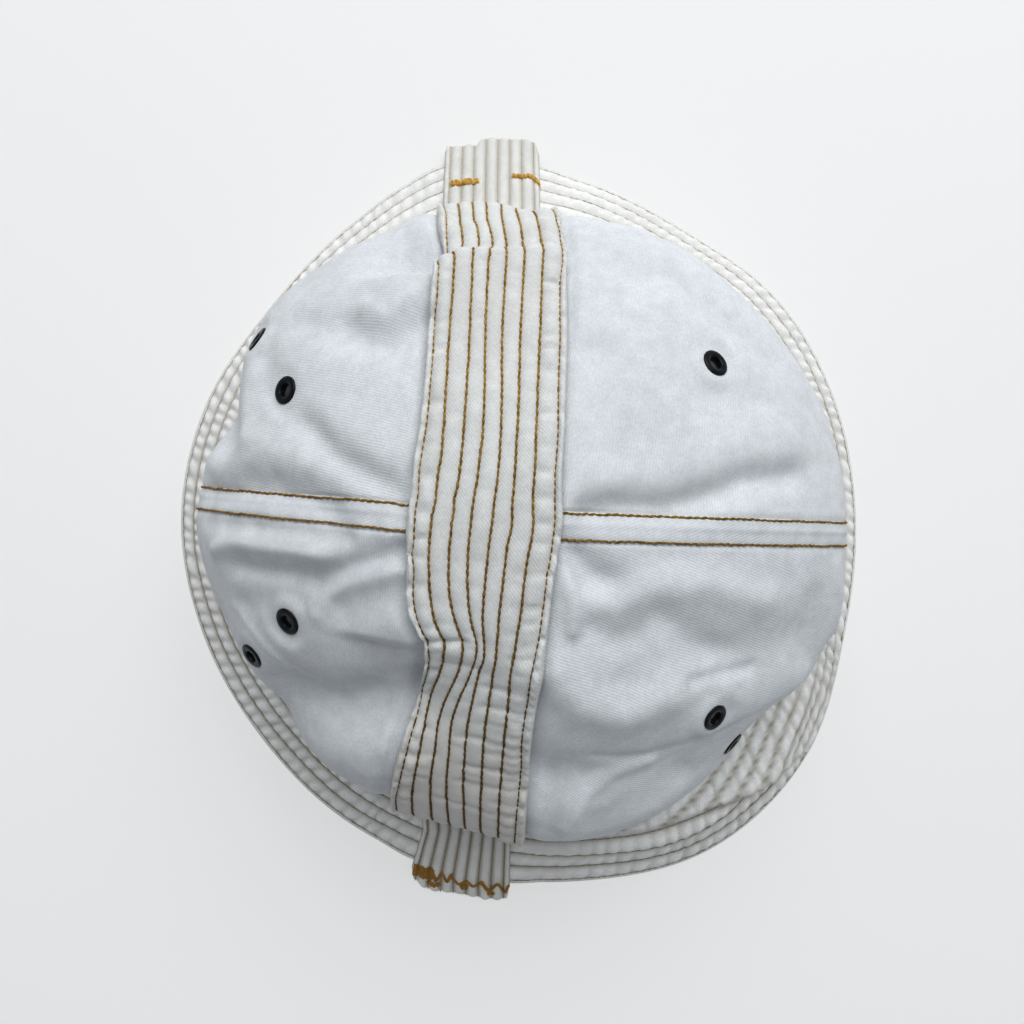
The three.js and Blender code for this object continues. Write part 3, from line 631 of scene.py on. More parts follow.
def punched(outer, inner, radius):
    # cuts the eyelet holes out of a panel's two faces and pulls their rims onto round edges
    rows, columns = outer.shape[:2]
    kept = np.ones((rows - 1, columns - 1), bool)
    frames = [eyeletFrame(*place)[:2] for place in eyelet["places"].values()]
    # the pressed flanges hold the cloth flat
    for centre, normal in frames:
        for face, target in ((outer, cloth["panel"] / 2), (inner, -cloth["panel"] / 2)):
            height, level = heightAndLevel(face, centre, normal)
            away = np.linalg.norm(level, axis=-1)
            held = (1 - smooth(away, eyelet["flange"] + 0.6, eyelet["flange"] * 2.2))
            held *= np.abs(height) < eyelet["reach"]
            face += (held * (target - height))[..., None] * normal
    middle = (outer[:-1, :-1] + outer[1:, :-1] + outer[:-1, 1:] + outer[1:, 1:]) / 4
    for centre, normal in frames:
        height, level = heightAndLevel(middle, centre, normal)
        cut = (np.linalg.norm(level, axis=-1) < radius) & (np.abs(height) < eyelet["reach"])
        if not cut.any():
            continue
        kept &= ~cut
        touched = np.zeros((rows, columns), bool)
        whole = np.zeros((rows, columns), bool)
        for down, right in ((0, 0), (0, 1), (1, 0), (1, 1)):
            touched[down:rows - 1 + down, right:columns - 1 + right] |= cut
            whole[down:rows - 1 + down, right:columns - 1 + right] |= ~cut
        rim = touched & whole
        for face in (outer, inner):
            height, level = heightAndLevel(face[rim], centre, normal)
            face[rim] = centre + radius * unit(level) + height[:, None] * normal
    return kept


def makePanel(name, strapAzimuth, seamAzimuth):
    azimuths = np.linspace(strapAzimuth, seamAzimuth, panel["columns"])
    length, azimuth = np.meshgrid(spaced(0, clothLength, panel["step"]), azimuths, indexing="ij")
    # each quarter keeps half a gap to its neighbours
    middle = math.radians((strapAzimuth + seamAzimuth) / 2)
    shift = np.sign([math.cos(middle), math.sin(middle), 0]) * cloth["gap"] / 2
    outer = panelSurface(azimuth, length) + shift
    inner = panelSurface(azimuth, length, cloth["panel"]) + shift
    outer[0] = outer[0].mean(0)
    inner[0] = inner[0].mean(0)
    kept = punched(outer, inner, panel["punch"])
    angle = np.radians(azimuth)
    place = np.stack([length * np.cos(angle), length * np.sin(angle)], -1)
    return gridMesh(name + "_cloth", outer, inner, place, kept=kept)


sideSeam = {
    "width": 7.6,
    "start": -1.5,
    "bottom": -0.34,
    "top": 0.1,
    "thickness": 0.2,
    "round": 0.9,
    "ridge": 0.3,
    "groove": 0.12,
    "ripple": 0.16,
    "step": 1.1,
    "rows": (-3.3, 3.3),
    # azimuth, and where the felled edge shows as a ridge
    "seams": {"side_seam_right": (cloth["seamRight"], 0.6), "side_seam_left": (cloth["seamLeft"], -0.8)},
}


def seamStart(seam):
    left, right = (float(value) for value in strapEdges(np.array(0.0)))
    return abs((right if seam < 90 else left) - capForm["pole"][0]) + sideSeam["start"]


def seamAzimuth(seam, length, offset):
    return seam + np.degrees(offset / profileAt(length)[0])


def seamSurface(seam, fell, length, offset, lift=0.0):
    azimuth = seamAzimuth(seam, length, offset)
    edge = roundEdge(sideSeam["width"] / 2 - np.abs(offset), sideSeam["round"])
    height = sideSeam["bottom"] + (sideSeam["top"] - sideSeam["bottom"]) * edge - bedDepth(azimuth, length)
    for row in sideSeam["rows"]:
        height = height - sideSeam["groove"] * bell(offset - row, 0.8)
    height = height + sideSeam["ridge"] * bell(offset - fell, 0.9)
    height = height + sideSeam["ripple"] * softNoise(length / 3.1, offset / 4 + seam, 31) * edge
    return overCrown(azimuth, length, height + lift)


def makeSeam(name, seam, fell):
    # finer steps on the round edges
    half, level = sideSeam["width"] / 2, sideSeam["width"] / 2 - 1.2
    stretches = ((-half, -level, 0.3), (-level, level, 0.45), (level, half, 0.3))
    lengths = spaced(seamStart(seam), clothLength, sideSeam["step"])
    length, offset = np.meshgrid(lengths, stationsOver(stretches), indexing="ij")
    outer = seamSurface(seam, fell, length, offset)
    azimuth = seamAzimuth(seam, length, offset)
    inner = overCrown(azimuth, length, sideSeam["bottom"] - sideSeam["thickness"] - bedDepth(azimuth, length))
    cos, sin = math.cos(math.radians(seam)), math.sin(math.radians(seam))
    place = np.stack([length * cos - offset * sin, length * sin + offset * cos], -1)
    return gridMesh(name + "_cloth", outer, inner, place)


brim = {
    "margin": 1.7,
    "shoulder": 5,
    "shoulderDrop": 1.8,
    "edgeHeight": 1.6,
    "flatShare": 0.965,
    # its front is flatter near the edge
    "flare": 0.6,
    "flareFill": 1.08,
    "flareDrop": 0.9,
    "flareTurn": 262,
    "flareSpread": 55,
    "sectionSteps": 65,
    # the rows of stitches stand closer together at the back
    "rows": 7,
    "crowding": 1.04,
    "crowdingSwing": 0.22,
    "crowdingTurn": 85,
    # pillows between the rows, and the creases between the pillows
    "rise": 1.5,
    "crease": 0.85,
    "creaseWidth": 0.2,
    "pillows": 146,
    "slant": 0.5,
    "sink": 0.35,
    # beside the tabs the cloth is stretched smooth: azimuth, spread, share
    "calm": ((268, 18, 0.75), (86, 40, 0.5)),
    # the back, which faces the light, gets less painted shade: azimuth, spread, share
    "litBack": (85, 65, 0.65),
    # painted shade, with some grime, on the flat edge band
    "edgeShadeAndGrime": 0.2,
    "columns": 1000,
    "laneSteps": 6,
    "edgeSteps": 4,
    "clothRadius": 126,
    "tabLift": 2.2,
    "tabLiftStart": 20,
    "tabLiftEnd": 35,
}
# a fold runs outwards across the front right of the brim; the rows inside it are turned
brimFold = {
    # azimuth and radius
    "line": (
        (262, 104), (275, 117), (284, 125), (290.5, 129), (298.6, 131.6), (304.4, 133.8),
        (311, 138), (317, 141.5), (322, 147), (327, 151), (360, 152),
    ),
    "fromTurn": 283,
    "toTurn": 327,
    "rowShift": 6,
    "shiftFrom": 284,
    "shiftTo": 340,
    "closer": 0.3,
    "closerTurns": (272, 290, 318, 337),
    "rise": 3.0,
    "run": 9,
    "fall": 1.7,
    "foot": 1.5,
    # painted shade along the fold
    "shadeAndGrime": 0.9,
    "sewnFrom": 335,
}
brimTabs = {
    "brim_tab_back": {
        "side": 1, "root": -10.6, "end": -10.6, "reach": 153.2, "narrow": 1.0, "wide": 1.0, "shadeAndGrime": 0.5,
        # place across the tab, how far its end falls short there
        "outline": ((-19, 4.6), (-18, 3.2), (-6, 2.5), (-4.5, 0.3), (-3.5, 0), (14, 0.2), (17, 1.5), (19, 6)),
    },
    "brim_tab_front": {
        "side": -1, "root": -20.3, "end": -23.8, "reach": 153.8, "narrow": 0.91, "wide": 1.07, "shadeAndGrime": 1.0,
        "outline": (
            (-19, 12), (-17, 8), (-14, 5), (-10, 3.4), (-4, 2.6),
            (4, 1.2), (12, 0), (16.5, 0), (18, 1.2), (19, 6),
        ),
    },
}


def brimLift(azimuth, edge):
    # the edge stands on the tabs where they turn under
    angle = np.radians(azimuth)
    endX = np.where(np.sin(angle) > 0, brimTabs["brim_tab_back"]["end"], brimTabs["brim_tab_front"]["end"])
    away = np.abs(edge * np.cos(angle) - endX)
    return brim["tabLift"] * (1 - smooth(away, brim["tabLiftStart"], brim["tabLiftEnd"]))


def brimSection(azimuth, share):
    # radius and height of the brim's middle face, the slope there, its lift and its length
    shape = np.broadcast(azimuth, share).shape
    azimuth, share = (np.ravel(value).astype(float) for value in np.broadcast_arrays(azimuth, share))
    _, root, rootHeight, crest, crestHeight, edge = sectionAt(azimuth).T
    lift = brimLift(azimuth, edge)
    lowest = brim["edgeHeight"] + lift
    flareHeight = lowest + (crestHeight - lowest) * brim["flare"] * brim["flareFill"]
    flareHeight -= brim["flareDrop"] * bell(turnFrom(azimuth, brim["flareTurn"]), brim["flareSpread"])
    gap = cloth["gap"]
    corners = np.stack([np.stack(corner, -1) for corner in (
        (root - brim["margin"], rootHeight - gap),
        (root + gap, rootHeight - gap),
        (root + brim["shoulder"], rootHeight - brim["shoulderDrop"]),
        (crest, crestHeight),
        (edge - brim["flare"] * (edge - crest), flareHeight),
        (edge, lowest),
    )], -2)
    line = splinePoints(corners, brim["sectionSteps"])
    steps = np.linalg.norm(np.diff(line, axis=1), axis=-1)
    run = np.concatenate([np.zeros((len(steps), 1)), np.cumsum(steps, 1)], 1)
    target = share * run[:, -1]
    index = np.clip((run <= target[:, None]).sum(1) - 1, 0, brim["sectionSteps"] - 2)
    every = np.arange(len(index))
    start, end = run[every, index], run[every, index + 1]
    part = ((target - start) / np.maximum(end - start, 1e-6))[:, None]
    low, high = line[every, index], line[every, index + 1]
    place = (low * (1 - part) + high * part).reshape(shape + (2,))
    return place, unit(high - low).reshape(shape + (2,)), lift.reshape(shape), run[:, -1].reshape(shape)


def brimCrowding(azimuth):
    return brim["crowding"] + brim["crowdingSwing"] * np.cos(np.radians(azimuth - brim["crowdingTurn"]))


def brimLane(azimuth, share):
    return brim["rows"] * (np.maximum(share, 0) / brim["flatShare"]) ** brimCrowding(azimuth)


def brimShare(azimuth, lane):
    return brim["flatShare"] * (np.maximum(lane, 0) / brim["rows"]) ** (1 / brimCrowding(azimuth))


def foldPlace(azimuth, radius):
    # distance outwards from the brim's fold, how marked it is there,
    # how far it turns the rows and how much closer they lie
    turn = np.mod(azimuth, 360)
    first, last = brimFold["fromTurn"], brimFold["toTurn"]
    away = radius - np.interp(turn, *zip(*brimFold["line"]))
    marked = window(turn, first, first + 14, last - 15, last)
    shiftRun = brimFold["shiftTo"] - brimFold["shiftFrom"]
    shift = brimFold["rowShift"] * np.clip((turn - brimFold["shiftFrom"]) / shiftRun, 0, 1)
    closer = 1 + brimFold["closer"] * window(turn, *brimFold["closerTurns"])
    inside = (away < 0) | (turn > last)
    return away, marked, np.where(inside, shift, 0.0), np.where(inside, closer, 1.0)


def brimRelief(azimuth, share, radius):
    # pillows between the rows of stitches, parted by the creases where the stitches draw the cloth in,
    # and the painted shade, with some grime, in the rows and creases
    away, marked, shift, closer = foldPlace(azimuth, radius)
    lane = brimLane(azimuth, share) * closer + shift
    channel = np.mod(np.floor(lane), brimFold["rowShift"])
    inside = lane - np.floor(lane)
    ridge = arch(lane) ** 0.8 * np.clip((brim["flatShare"] - share) / 0.03, 0, 1) ** 0.4
    # one full turn is 128 steps of the noise, so that it closes on itself
    turns = azimuth / 360 * 128
    phase = azimuth / 360 * brim["pillows"] + channel * 0.37 + brim["slant"] * (inside - 0.5)
    phase = phase + 0.45 * softNoise(turns * 0.5, channel * 9.7 + 0.5, 41)
    phase = phase + 0.12 * softNoise(turns, inside * 2 + channel, 44)
    nearest = np.round(phase)
    strength = 0.7 + 0.5 * softNoise(np.mod(nearest, brim["pillows"]) * 3 + 0.5, channel * 5 + 0.5, 42)
    # inside the fold every second crease is flattened out
    turned = (closer - 1) / brimFold["closer"]
    strength = strength * (1 - turned * (0.25 + 0.7 * np.mod(nearest, 2)))
    for middle, spread, calm in brim["calm"]:
        strength = strength * (1 - calm * bell(turnFrom(azimuth, middle), spread))
    crease = strength * bell(phase - nearest, brim["creaseWidth"])
    swell = 1 - 0.7 * np.abs(phase - nearest - 0.5 * np.sign(phase - nearest))
    height = brim["rise"] * ridge * swell * (1 - brim["crease"] * crease)
    height += 0.22 * softNoise(turns / 2, share * 5, 43)
    shadeAndGrime = np.clip(1 - 1.15 * ridge * (1 - 0.75 * crease), 0, 1) ** 1.2
    middle, spread, litBack = brim["litBack"]
    shadeAndGrime = shadeAndGrime * (1 + 0.4 * turned) * (1 - litBack * bell(turnFrom(azimuth, middle), spread))
    onEdge = share > brim["flatShare"]
    height = np.where(onEdge, 0.0, height)
    # the fold: the cloth inside it stands up, falls steeply and lies flat again
    folded = np.where(away < 0, np.exp(np.minimum(away, 0) / brimFold["run"]), bell(away, brimFold["fall"]))
    height += marked * brimFold["rise"] * folded * np.clip((1 - share) / 0.06, 0, 1)
    height -= marked * brimFold["foot"] * bell(away - 3.5, 2.2) * np.clip((1 - share) / 0.1, 0, 1)
    shadeAndGrime = np.where(onEdge, brim["edgeShadeAndGrime"], shadeAndGrime)
    # painted shade along the fold's steep outer face
    shadeAndGrime = np.maximum(shadeAndGrime, marked * brimFold["shadeAndGrime"] * bell(away - 1.5, 2))
    return height, shadeAndGrime


def onRay(azimuth, radius, height):
    angle = np.radians(azimuth)
    return np.stack([radius * np.cos(angle), radius * np.sin(angle), height], -1)


def brimSurface(azimuth, share, lift=0.0):
    azimuth, share = np.broadcast_arrays(np.asarray(azimuth, float), np.asarray(share, float))
    place, slope, _, _ = brimSection(azimuth, share)
    up = brimRelief(azimuth, share, place[..., 0])[0] - brim["sink"] + lift
    return onRay(azimuth, place[..., 0] - up * slope[..., 1], place[..., 1] + up * slope[..., 0])


def makeBrim():
    azimuths = np.linspace(0, 360, brim["columns"], endpoint=False)
    lanes, azimuth = np.meshgrid(np.arange(0, brim["rows"], 1 / brim["laneSteps"]), azimuths, indexing="ij")
    edges = np.linspace(brim["flatShare"], 1, brim["edgeSteps"])
    edges = np.broadcast_to(edges[:, None], (len(edges), len(azimuths)))
    share = np.concatenate([brimShare(azimuth, lanes), edges])
    azimuth = np.broadcast_to(azimuths, share.shape)
    upper = brimSurface(azimuth, share)
    base, slope, lift, run = brimSection(azimuth, share)
    thick = cloth["brim"]
    lowered = onRay(azimuth, base[..., 0] + thick * slope[..., 1], base[..., 1] - thick * slope[..., 0])
    lowered[..., 2] = np.maximum(lowered[..., 2], lift)
    level = onRay(azimuth, base[..., 0], lift)
    lower = np.where((share >= brim["flatShare"])[..., None], level, lowered)
    place = np.stack([np.radians(azimuth) * brim["clothRadius"], share * run], -1)
    shadeAndGrime = brimRelief(azimuth, share, base[..., 0])[1]
    return gridMesh("brimCloth", upper, lower, place, ring=True, shadeAndGrime=shadeAndGrime)


tab = {
    "half": 19,
    "thickness": 1.5,
    "underRun": 20,
    "startShare": 0.09,
    "rise": 0.62,
    "bend": 0.95,
    "rootReach": 0.66,
    "skewStart": 0.79,
    "skewEnd": 0.94,
    "ridge": 1.15,
    "round": 0.9,
    # narrower margins outside the first and the last row
    "lanes": (-1, -0.875, -0.625, -0.375, -0.125, 0.125, 0.375, 0.625, 0.875, 1),
    # stations out over the brim, round the bend and back underneath
    "outSteps": 40,
    "bendSteps": 9,
    "underSteps": 11,
}


def tabX(shape, offset, along):
    # the tab leans and widens on its way out
    turn = np.clip((along - tab["skewStart"]) / (tab["skewEnd"] - tab["skewStart"]), 0, 1)
    middle = shape["root"] + (shape["end"] - shape["root"]) * turn
    return middle + offset * (shape["narrow"] + (shape["wide"] - shape["narrow"]) * turn)


def tabLines(shape, offsets):
    # middle lines of the tab's columns: out over the brim, past its edge, round and back underneath
    offset, share = np.meshgrid(offsets, np.linspace(tab["startShare"], 1, tab["outSteps"]), indexing="ij")
    x = tabX(shape, offset, tab["rootReach"] + (1 - tab["rootReach"]) * share)
    azimuth = np.full_like(x, 90.0 * shape["side"])
    for _ in range(5):
        place = brimSection(azimuth, share)[0]
        azimuth = shape["side"] * np.degrees(np.arccos(np.clip(x / place[..., 0], -1, 1)))
    place = brimSection(azimuth, share)[0]
    reach = place[..., 0] * np.abs(np.sin(np.radians(azimuth)))
    onBrim = np.stack([reach, place[..., 1] + cloth["gap"] + tab["thickness"] * tab["rise"]], -1)
    edge = onBrim[:, -1:, 0]
    half = tab["thickness"] / 2
    corner = np.interp(offsets, *zip(*shape["outline"]))[:, None]
    bendY = np.maximum(shape["reach"] - corner - half - tab["bend"], edge + 0.3)
    turn = np.radians(np.linspace(90, -90, tab["bendSteps"]))
    bendZ = np.tile(half + tab["bend"] + tab["bend"] * np.sin(turn), (len(offsets), 1))
    bend = np.stack([bendY + tab["bend"] * np.cos(turn), bendZ], -1)
    share = np.linspace(0, 1, tab["underSteps"] + 1)[1:]
    underY = bendY * (1 - share) + (edge - tab["underRun"]) * share
    return np.concatenate([onBrim, bend, np.stack([underY, np.full_like(underY, half)], -1)], 1)


def tabOffsets(lanes):
    return np.interp(lanes, np.arange(len(tab["lanes"])), np.array(tab["lanes"]) * tab["half"])


def tabFace(shape, lanes, lift=0.0, top=True):
    # points of one face, and how far along the tab they lie
    offsets = tabOffsets(lanes)
    lines = tabLines(shape, offsets)
    steps = np.linalg.norm(np.diff(lines, axis=1), axis=-1)
    station = np.cumsum(np.concatenate([np.zeros((len(offsets), 1)), steps], 1), 1)
    lane = np.broadcast_to(lanes[:, None], station.shape)
    edge = roundEdge(tab["half"] - np.abs(offsets), tab["round"])[:, None]
    half = tab["thickness"] / 2
    if top:
        # ridges between the rows, which end where the tab turns under
        bendEnd = tab["outSteps"] + tab["bendSteps"] - 2
        fade = window(station, 0, 3, station[:, [tab["outSteps"]]] + 1, station[:, [bendEnd]])
        waves = softNoise(station / 3.2, np.floor(lane) * 5.1 + shape["side"], 51)
        ridge = tab["ridge"] * arch(lane) * (0.85 + 0.4 * waves)
        height = (half - 0.35 * fade) * edge + ridge * fade * edge + lift
    else:
        height = np.full_like(station, -half) * np.maximum(edge, 0.4)
    ahead = np.concatenate([lines[:, 1:], lines[:, -1:]], 1)
    behind = np.concatenate([lines[:, :1], lines[:, :-1]], 1)
    run = unit(ahead - behind)
    x = tabX(shape, offsets[:, None], np.clip(lines[..., 0] / shape["reach"], 0, 1))
    y = lines[..., 0] - run[..., 1] * height
    return np.stack([x, shape["side"] * y, lines[..., 1] + run[..., 0] * height], -1), station


def makeTab(name, shape):
    outer, station = tabFace(shape, rowLanes)
    inner, _ = tabFace(shape, rowLanes, top=False)
    place = np.stack([np.broadcast_to(tabOffsets(rowLanes)[:, None], station.shape), station], -1)
    # painted shade, with some grime, between the ridges; darker on the front tab, which lies in shade
    shadeAndGrime = shape["shadeAndGrime"] * np.clip(1.45 - 1.7 * arch(rowLanes), 0, 1)
    shadeAndGrime = np.broadcast_to(shadeAndGrime[:, None], station.shape)
    return gridMesh(name + "_cloth", outer, inner, place, shadeAndGrime=shadeAndGrime)


def makeEyelet(name, *place):
    # two flat rolled flanges on a barrel, with the cloth between them
    centre, normal, across, down = eyeletFrame(*place)
    under = cloth["panel"] / 2 + eyelet["clearance"]
    middle, half = (eyelet["flange"] + eyelet["hole"]) / 2, (eyelet["flange"] - eyelet["hole"]) / 2
    turn = np.linspace(0, math.pi, 13)
    rolled = under + eyelet["height"] * np.abs(np.sin(turn)) ** 0.7
    face = np.stack([middle + half * np.cos(turn), rolled], -1)
    bore, tube = eyelet["hole"] - 0.1, eyelet["barrel"]
    outline = np.vstack([
        face, [(bore, under - 0.3), (bore, 0.3 - under)], face[::-1] * (1, -1),
        [(tube, 0.1 - under), (tube, under - 0.1)],
    ])
    count, sides = len(outline), eyelet["sides"]
    angles = np.linspace(0, 2 * math.pi, sides, endpoint=False)
    circle = np.cos(angles)[:, None] * across + np.sin(angles)[:, None] * down
    points = centre + outline[None, :, :1] * circle[:, None] + outline[None, :, 1:] * normal
    index = np.arange(sides * count).reshape(sides, count)
    ahead, beside = np.roll(index, -1, 0), np.roll(index, -1, 1)
    faces = np.stack([index, ahead, np.roll(ahead, -1, 1), beside], -1)
    mesh = newMesh(name + "_ring", points.reshape(-1, 3), [], faces.reshape(-1, 4).tolist())
    work = bmesh.new()
    work.from_mesh(mesh)
    bmesh.ops.recalc_face_normals(work, faces=work.faces)
    work.to_mesh(mesh)
    work.free()
    return mesh


def setup(tree, kind, inputs=None, **settings):
    # a node with its settings and its inputs, each a value or another node's output
    node = tree.nodes.new(kind)
    for key, value in settings.items():
        setattr(node, key, value)
    for key, value in (inputs or {}).items():
        if isinstance(value, bpy.types.NodeSocket):
            tree.links.new(value, node.inputs[key])
        else:
            node.inputs[key].default_value = value
    return node


def nodeGroup(name, inputs, outputs, kind="ShaderNodeTree"):
    # inputs: name, kind of socket and, if it has one, its usual value
    group = bpy.data.node_groups.new(name, kind)
    for label, socketKind, *value in inputs:
        socket = group.interface.new_socket(label, in_out="INPUT", socket_type="NodeSocket" + socketKind)
        if value:
            socket.default_value = value[0]
    for label, socketKind in outputs:
        group.interface.new_socket(label, in_out="OUTPUT", socket_type="NodeSocket" + socketKind)
    return group, group.nodes.new("NodeGroupInput").outputs, group.nodes.new("NodeGroupOutput").inputs


def maths(tree, operation, first, second=0.0):
    return setup(tree, "ShaderNodeMath", {0: first, 1: second}, operation=operation).outputs[0]


def vector(tree, x, y, z):
    return setup(tree, "ShaderNodeCombineXYZ", {0: x, 1: y, 2: z}).outputs[0]


def sewingTree(name, sizes, result):
    # a Geometry Nodes tree that reads edge paths and sews or lays thread along them
    inputs = [("Rows", "Geometry"), ("Thread", "Material"), *sizes]
    tree, given, results = nodeGroup(name, inputs, [(result, "Geometry")], "GeometryNodeTree")
    tree.is_modifier = True
    path = setup(tree, "GeometryNodeMeshToCurve", {"Mesh": given["Rows"]}).outputs["Curve"]
    return tree, given, results, path


def threadTube(tree, line, sides, radius, **sizes):
    circle = setup(tree, "GeometryNodeCurvePrimitiveCircle", {"Resolution": sides, "Radius": radius})
    given = {"Curve": line, "Profile Curve": circle.outputs["Curve"], "Fill Caps": True, **sizes}
    return setup(tree, "GeometryNodeCurveToMesh", given).outputs["Mesh"]


def finishTree(tree, shape, thread, results):
    real = setup(tree, "GeometryNodeRealizeInstances", {"Geometry": shape}).outputs["Geometry"]
    finish = setup(tree, "GeometryNodeSetMaterial", {"Geometry": real, "Material": thread})
    tree.links.new(finish.outputs["Geometry"], results[0])
    return tree


def rowTree():
    # sews one stitch after another along every path, upright on its rowNormal
    sizes = [(size, "Int" if size == "Seed" else "Float") for size in threadSizes]
    tree, given, results, path = sewingTree("sewnRow", sizes, "Stitches")
    even = setup(tree, "GeometryNodeResampleCurve", {"Curve": path, "Length": given["Pitch"]}, mode="LENGTH")

    # one stitch: an arched thread, thicker in the middle
    half = maths(tree, "MULTIPLY", given["Length"], 0.5)
    sink = maths(tree, "MULTIPLY", given["Sink"], -1)
    arc = setup(tree, "GeometryNodeCurveQuadraticBezier", {
        "Resolution": 5,
        "Start": vector(tree, maths(tree, "MULTIPLY", half, -1), 0, sink),
        "Middle": vector(tree, 0, 0, given["Arch"]),
        "End": vector(tree, half, 0, sink),
    })
    along = setup(tree, "GeometryNodeSplineParameter").outputs["Factor"]
    swell = maths(tree, "SINE", maths(tree, "MULTIPLY", along, math.pi))
    swell = maths(tree, "ADD", maths(tree, "MULTIPLY", swell, 0.45), 0.6)
    thread = threadTube(tree, arc.outputs["Curve"], 5, given["Thread Radius"], Scale=swell)

    # it points along the row, stands on the cloth and leans a little, unevenly
    tangent = setup(tree, "GeometryNodeInputTangent").outputs["Tangent"]
    normal = setup(tree, "GeometryNodeInputNamedAttribute", {"Name": "rowNormal"}, data_type="FLOAT_VECTOR")
    align = "FunctionNodeAlignRotationToVector"
    aim = setup(tree, align, {"Vector": tangent}, axis="X", pivot_axis="AUTO").outputs["Rotation"]
    onCloth = {"Rotation": aim, "Vector": normal.outputs["Attribute"]}
    stand = setup(tree, align, onCloth, axis="Z", pivot_axis="X").outputs["Rotation"]
    least, most = maths(tree, "MULTIPLY", given["Unevenness"], -1), given["Unevenness"]
    wobble = {2: least, 3: most, "Seed": given["Seed"]}
    wobble = setup(tree, "FunctionNodeRandomValue", wobble, data_type="FLOAT").outputs[1]
    lean = {"Axis": (0, 0, 1), "Angle": maths(tree, "ADD", given["Lean"], wobble)}
    spin = setup(tree, "FunctionNodeAxisAngleToRotation", lean).outputs["Rotation"]
    turned = {"Rotation": stand, "Rotate By": spin}
    turned = setup(tree, "FunctionNodeRotateRotation", turned, rotation_space="LOCAL").outputs["Rotation"]
    sizes = {"Min": (0.92, 0.88, 0.85), "Max": (1.06, 1.12, 1.15), "Seed": given["Seed"]}
    sizes = setup(tree, "FunctionNodeRandomValue", sizes, data_type="FLOAT_VECTOR").outputs[0]
    stitches = {"Points": even.outputs["Curve"], "Instance": thread, "Rotation": turned, "Scale": sizes}
    stitches = setup(tree, "GeometryNodeInstanceOnPoints", stitches).outputs["Instances"]
    return finishTree(tree, stitches, given["Thread"], results)


def lineTree():
    # one thread laid along every path
    tree, given, results, path = sewingTree("laidThread", [("Thread Radius", "Float")], "Threads")
    return finishTree(tree, threadTube(tree, path, 8, given["Thread Radius"]), given["Thread"], results)


def sew(name, paths, tree, values, material):
    # paths: points and upward directions of each row, in millimetres
    points, normals, edges = [], [], []
    for line, up in paths:
        edges += [(start, start + 1) for start in range(len(points), len(points) + len(line) - 1)]
        points += line.tolist()
        normals += up.tolist()
    mesh = newMesh(name + "Paths", points, edges, [])
    upward = mesh.attributes.new("rowNormal", "FLOAT_VECTOR", "POINT").data
    upward.foreach_set("vector", np.array(normals, np.float32).ravel())
    carrier = newObject(name + "Paths", mesh)
    modifier = carrier.modifiers.new("sewing", "NODES")
    modifier.node_group = tree
    sockets = {item.name: item.identifier for item in tree.interface.items_tree if item.in_out == "INPUT"}
    for key, value in dict(values, Thread=material).items():
        modifier[sockets[key]] = value
    sewn = bpy.data.meshes.new_from_object(carrier.evaluated_get(bpy.context.evaluated_depsgraph_get()))
    sewn.name = name
    bpy.data.objects.remove(carrier)
    addPiece(name, sewn)


# zigzags that hold the tabs down: tab, from lane, to lane, from reach, to reach, half width, zigs
tacks = (
    ("brim_tab_back", 1.2, 3.4, 131.2, 132.2, 0.9, 9),
    ("brim_tab_back", 1.1, 3.2, 131.6, 132.6, 0.6, 6),
    ("brim_tab_back", 6.2, 7.9, 134.6, 134.4, 0.7, 6),
    ("brim_tab_back", 7.9, 8.9, 134.2, 131, 0.7, 4),
    ("brim_tab_front", 0.35, 2.3, 140.6, 142.4, 2.3, 9),
    ("brim_tab_front", 0.5, 2.1, 141.2, 142.8, 1.8, 7),
    ("brim_tab_front", 2.2, 3.9, 142.8, 144, 1.7, 2),
    ("brim_tab_front", 2.2, 3.9, 143.2, 144.4, 1.6, 2),
    ("brim_tab_front", 3.9, 6.3, 145, 146.8, 0.8, 2),
    ("brim_tab_front", 6.2, 8.8, 147, 148.2, 1.9, 2),
    ("brim_tab_front", 6.2, 8.8, 147.4, 148.6, 1.9, 2),
    ("brim_tab_front", 1.9, 2.9, 146.6, 147.2, 0.8, 4),
    ("brim_tab_front", 4.6, 5.2, 147.6, 148.2, 0.9, 3),
    ("brim_tab_front", 6.7, 7.2, 150.6, 150.8, 0.5, 2),
)
# a row's stitches, with their sizes in metres and their lean in radians
threadSizes = ("Pitch", "Length", "Thread Radius", "Arch", "Sink", "Lean", "Unevenness", "Seed")
threads = {
    "chain": (0.00205, 0.0024, 0.00032, 0.00048, 0.00016, 0.10, 0.10, 3),
    "lock": (0.0021, 0.0019, 0.00025, 0.00035, 0.00022, 0.04, 0.08, 5),
    "brim": (0.0026, 0.0028, 0.00021, 0.00022, 0.0001, 0.05, 0.08, 7),
    "tab": (0.0023, 0.0024, 0.00022, 0.00022, 0.0001, 0.05, 0.08, 9),
}
tackThread = {"Thread Radius": 0.00048}


def tackPath(shape, fromLane, toLane, fromReach, toReach, half, zigs, seed):
    # a zigzag of thread across the tab
    random = np.random.default_rng(seed)
    steps = np.linspace(0, 1, zigs * 2 + 1)
    corners = np.arange(len(steps))
    swing = np.where(corners % 2, half, -half) * random.uniform(0.85, 1.15, len(steps))
    lanes = fromLane + (toLane - fromLane) * steps + random.uniform(-0.06, 0.06, len(steps))
    reaches = fromReach + (toReach - fromReach) * steps + swing
    fine = np.linspace(0, len(steps) - 1, len(steps) * 6)
    eased = np.floor(fine) + smooth(fine - np.floor(fine), 0, 1)
    points, _ = tabFace(shape, np.interp(fine, corners, lanes), 0.12)
    # each point is read from its own column of the tab's upper face, down to its turned end
    points = points[:, :tab["outSteps"] + 2]
    reaches = np.interp(eased, corners, reaches)
    line = np.array([
        [np.interp(reach, np.abs(column[:, 1]), column[:, axis]) for axis in range(3)]
        for column, reach in zip(points, reaches)
    ])
    line[:, 2] += 0.18 * arch(fine) ** 0.6
    return line, np.tile([0.0, 0.0, 1.0], (len(line), 1))


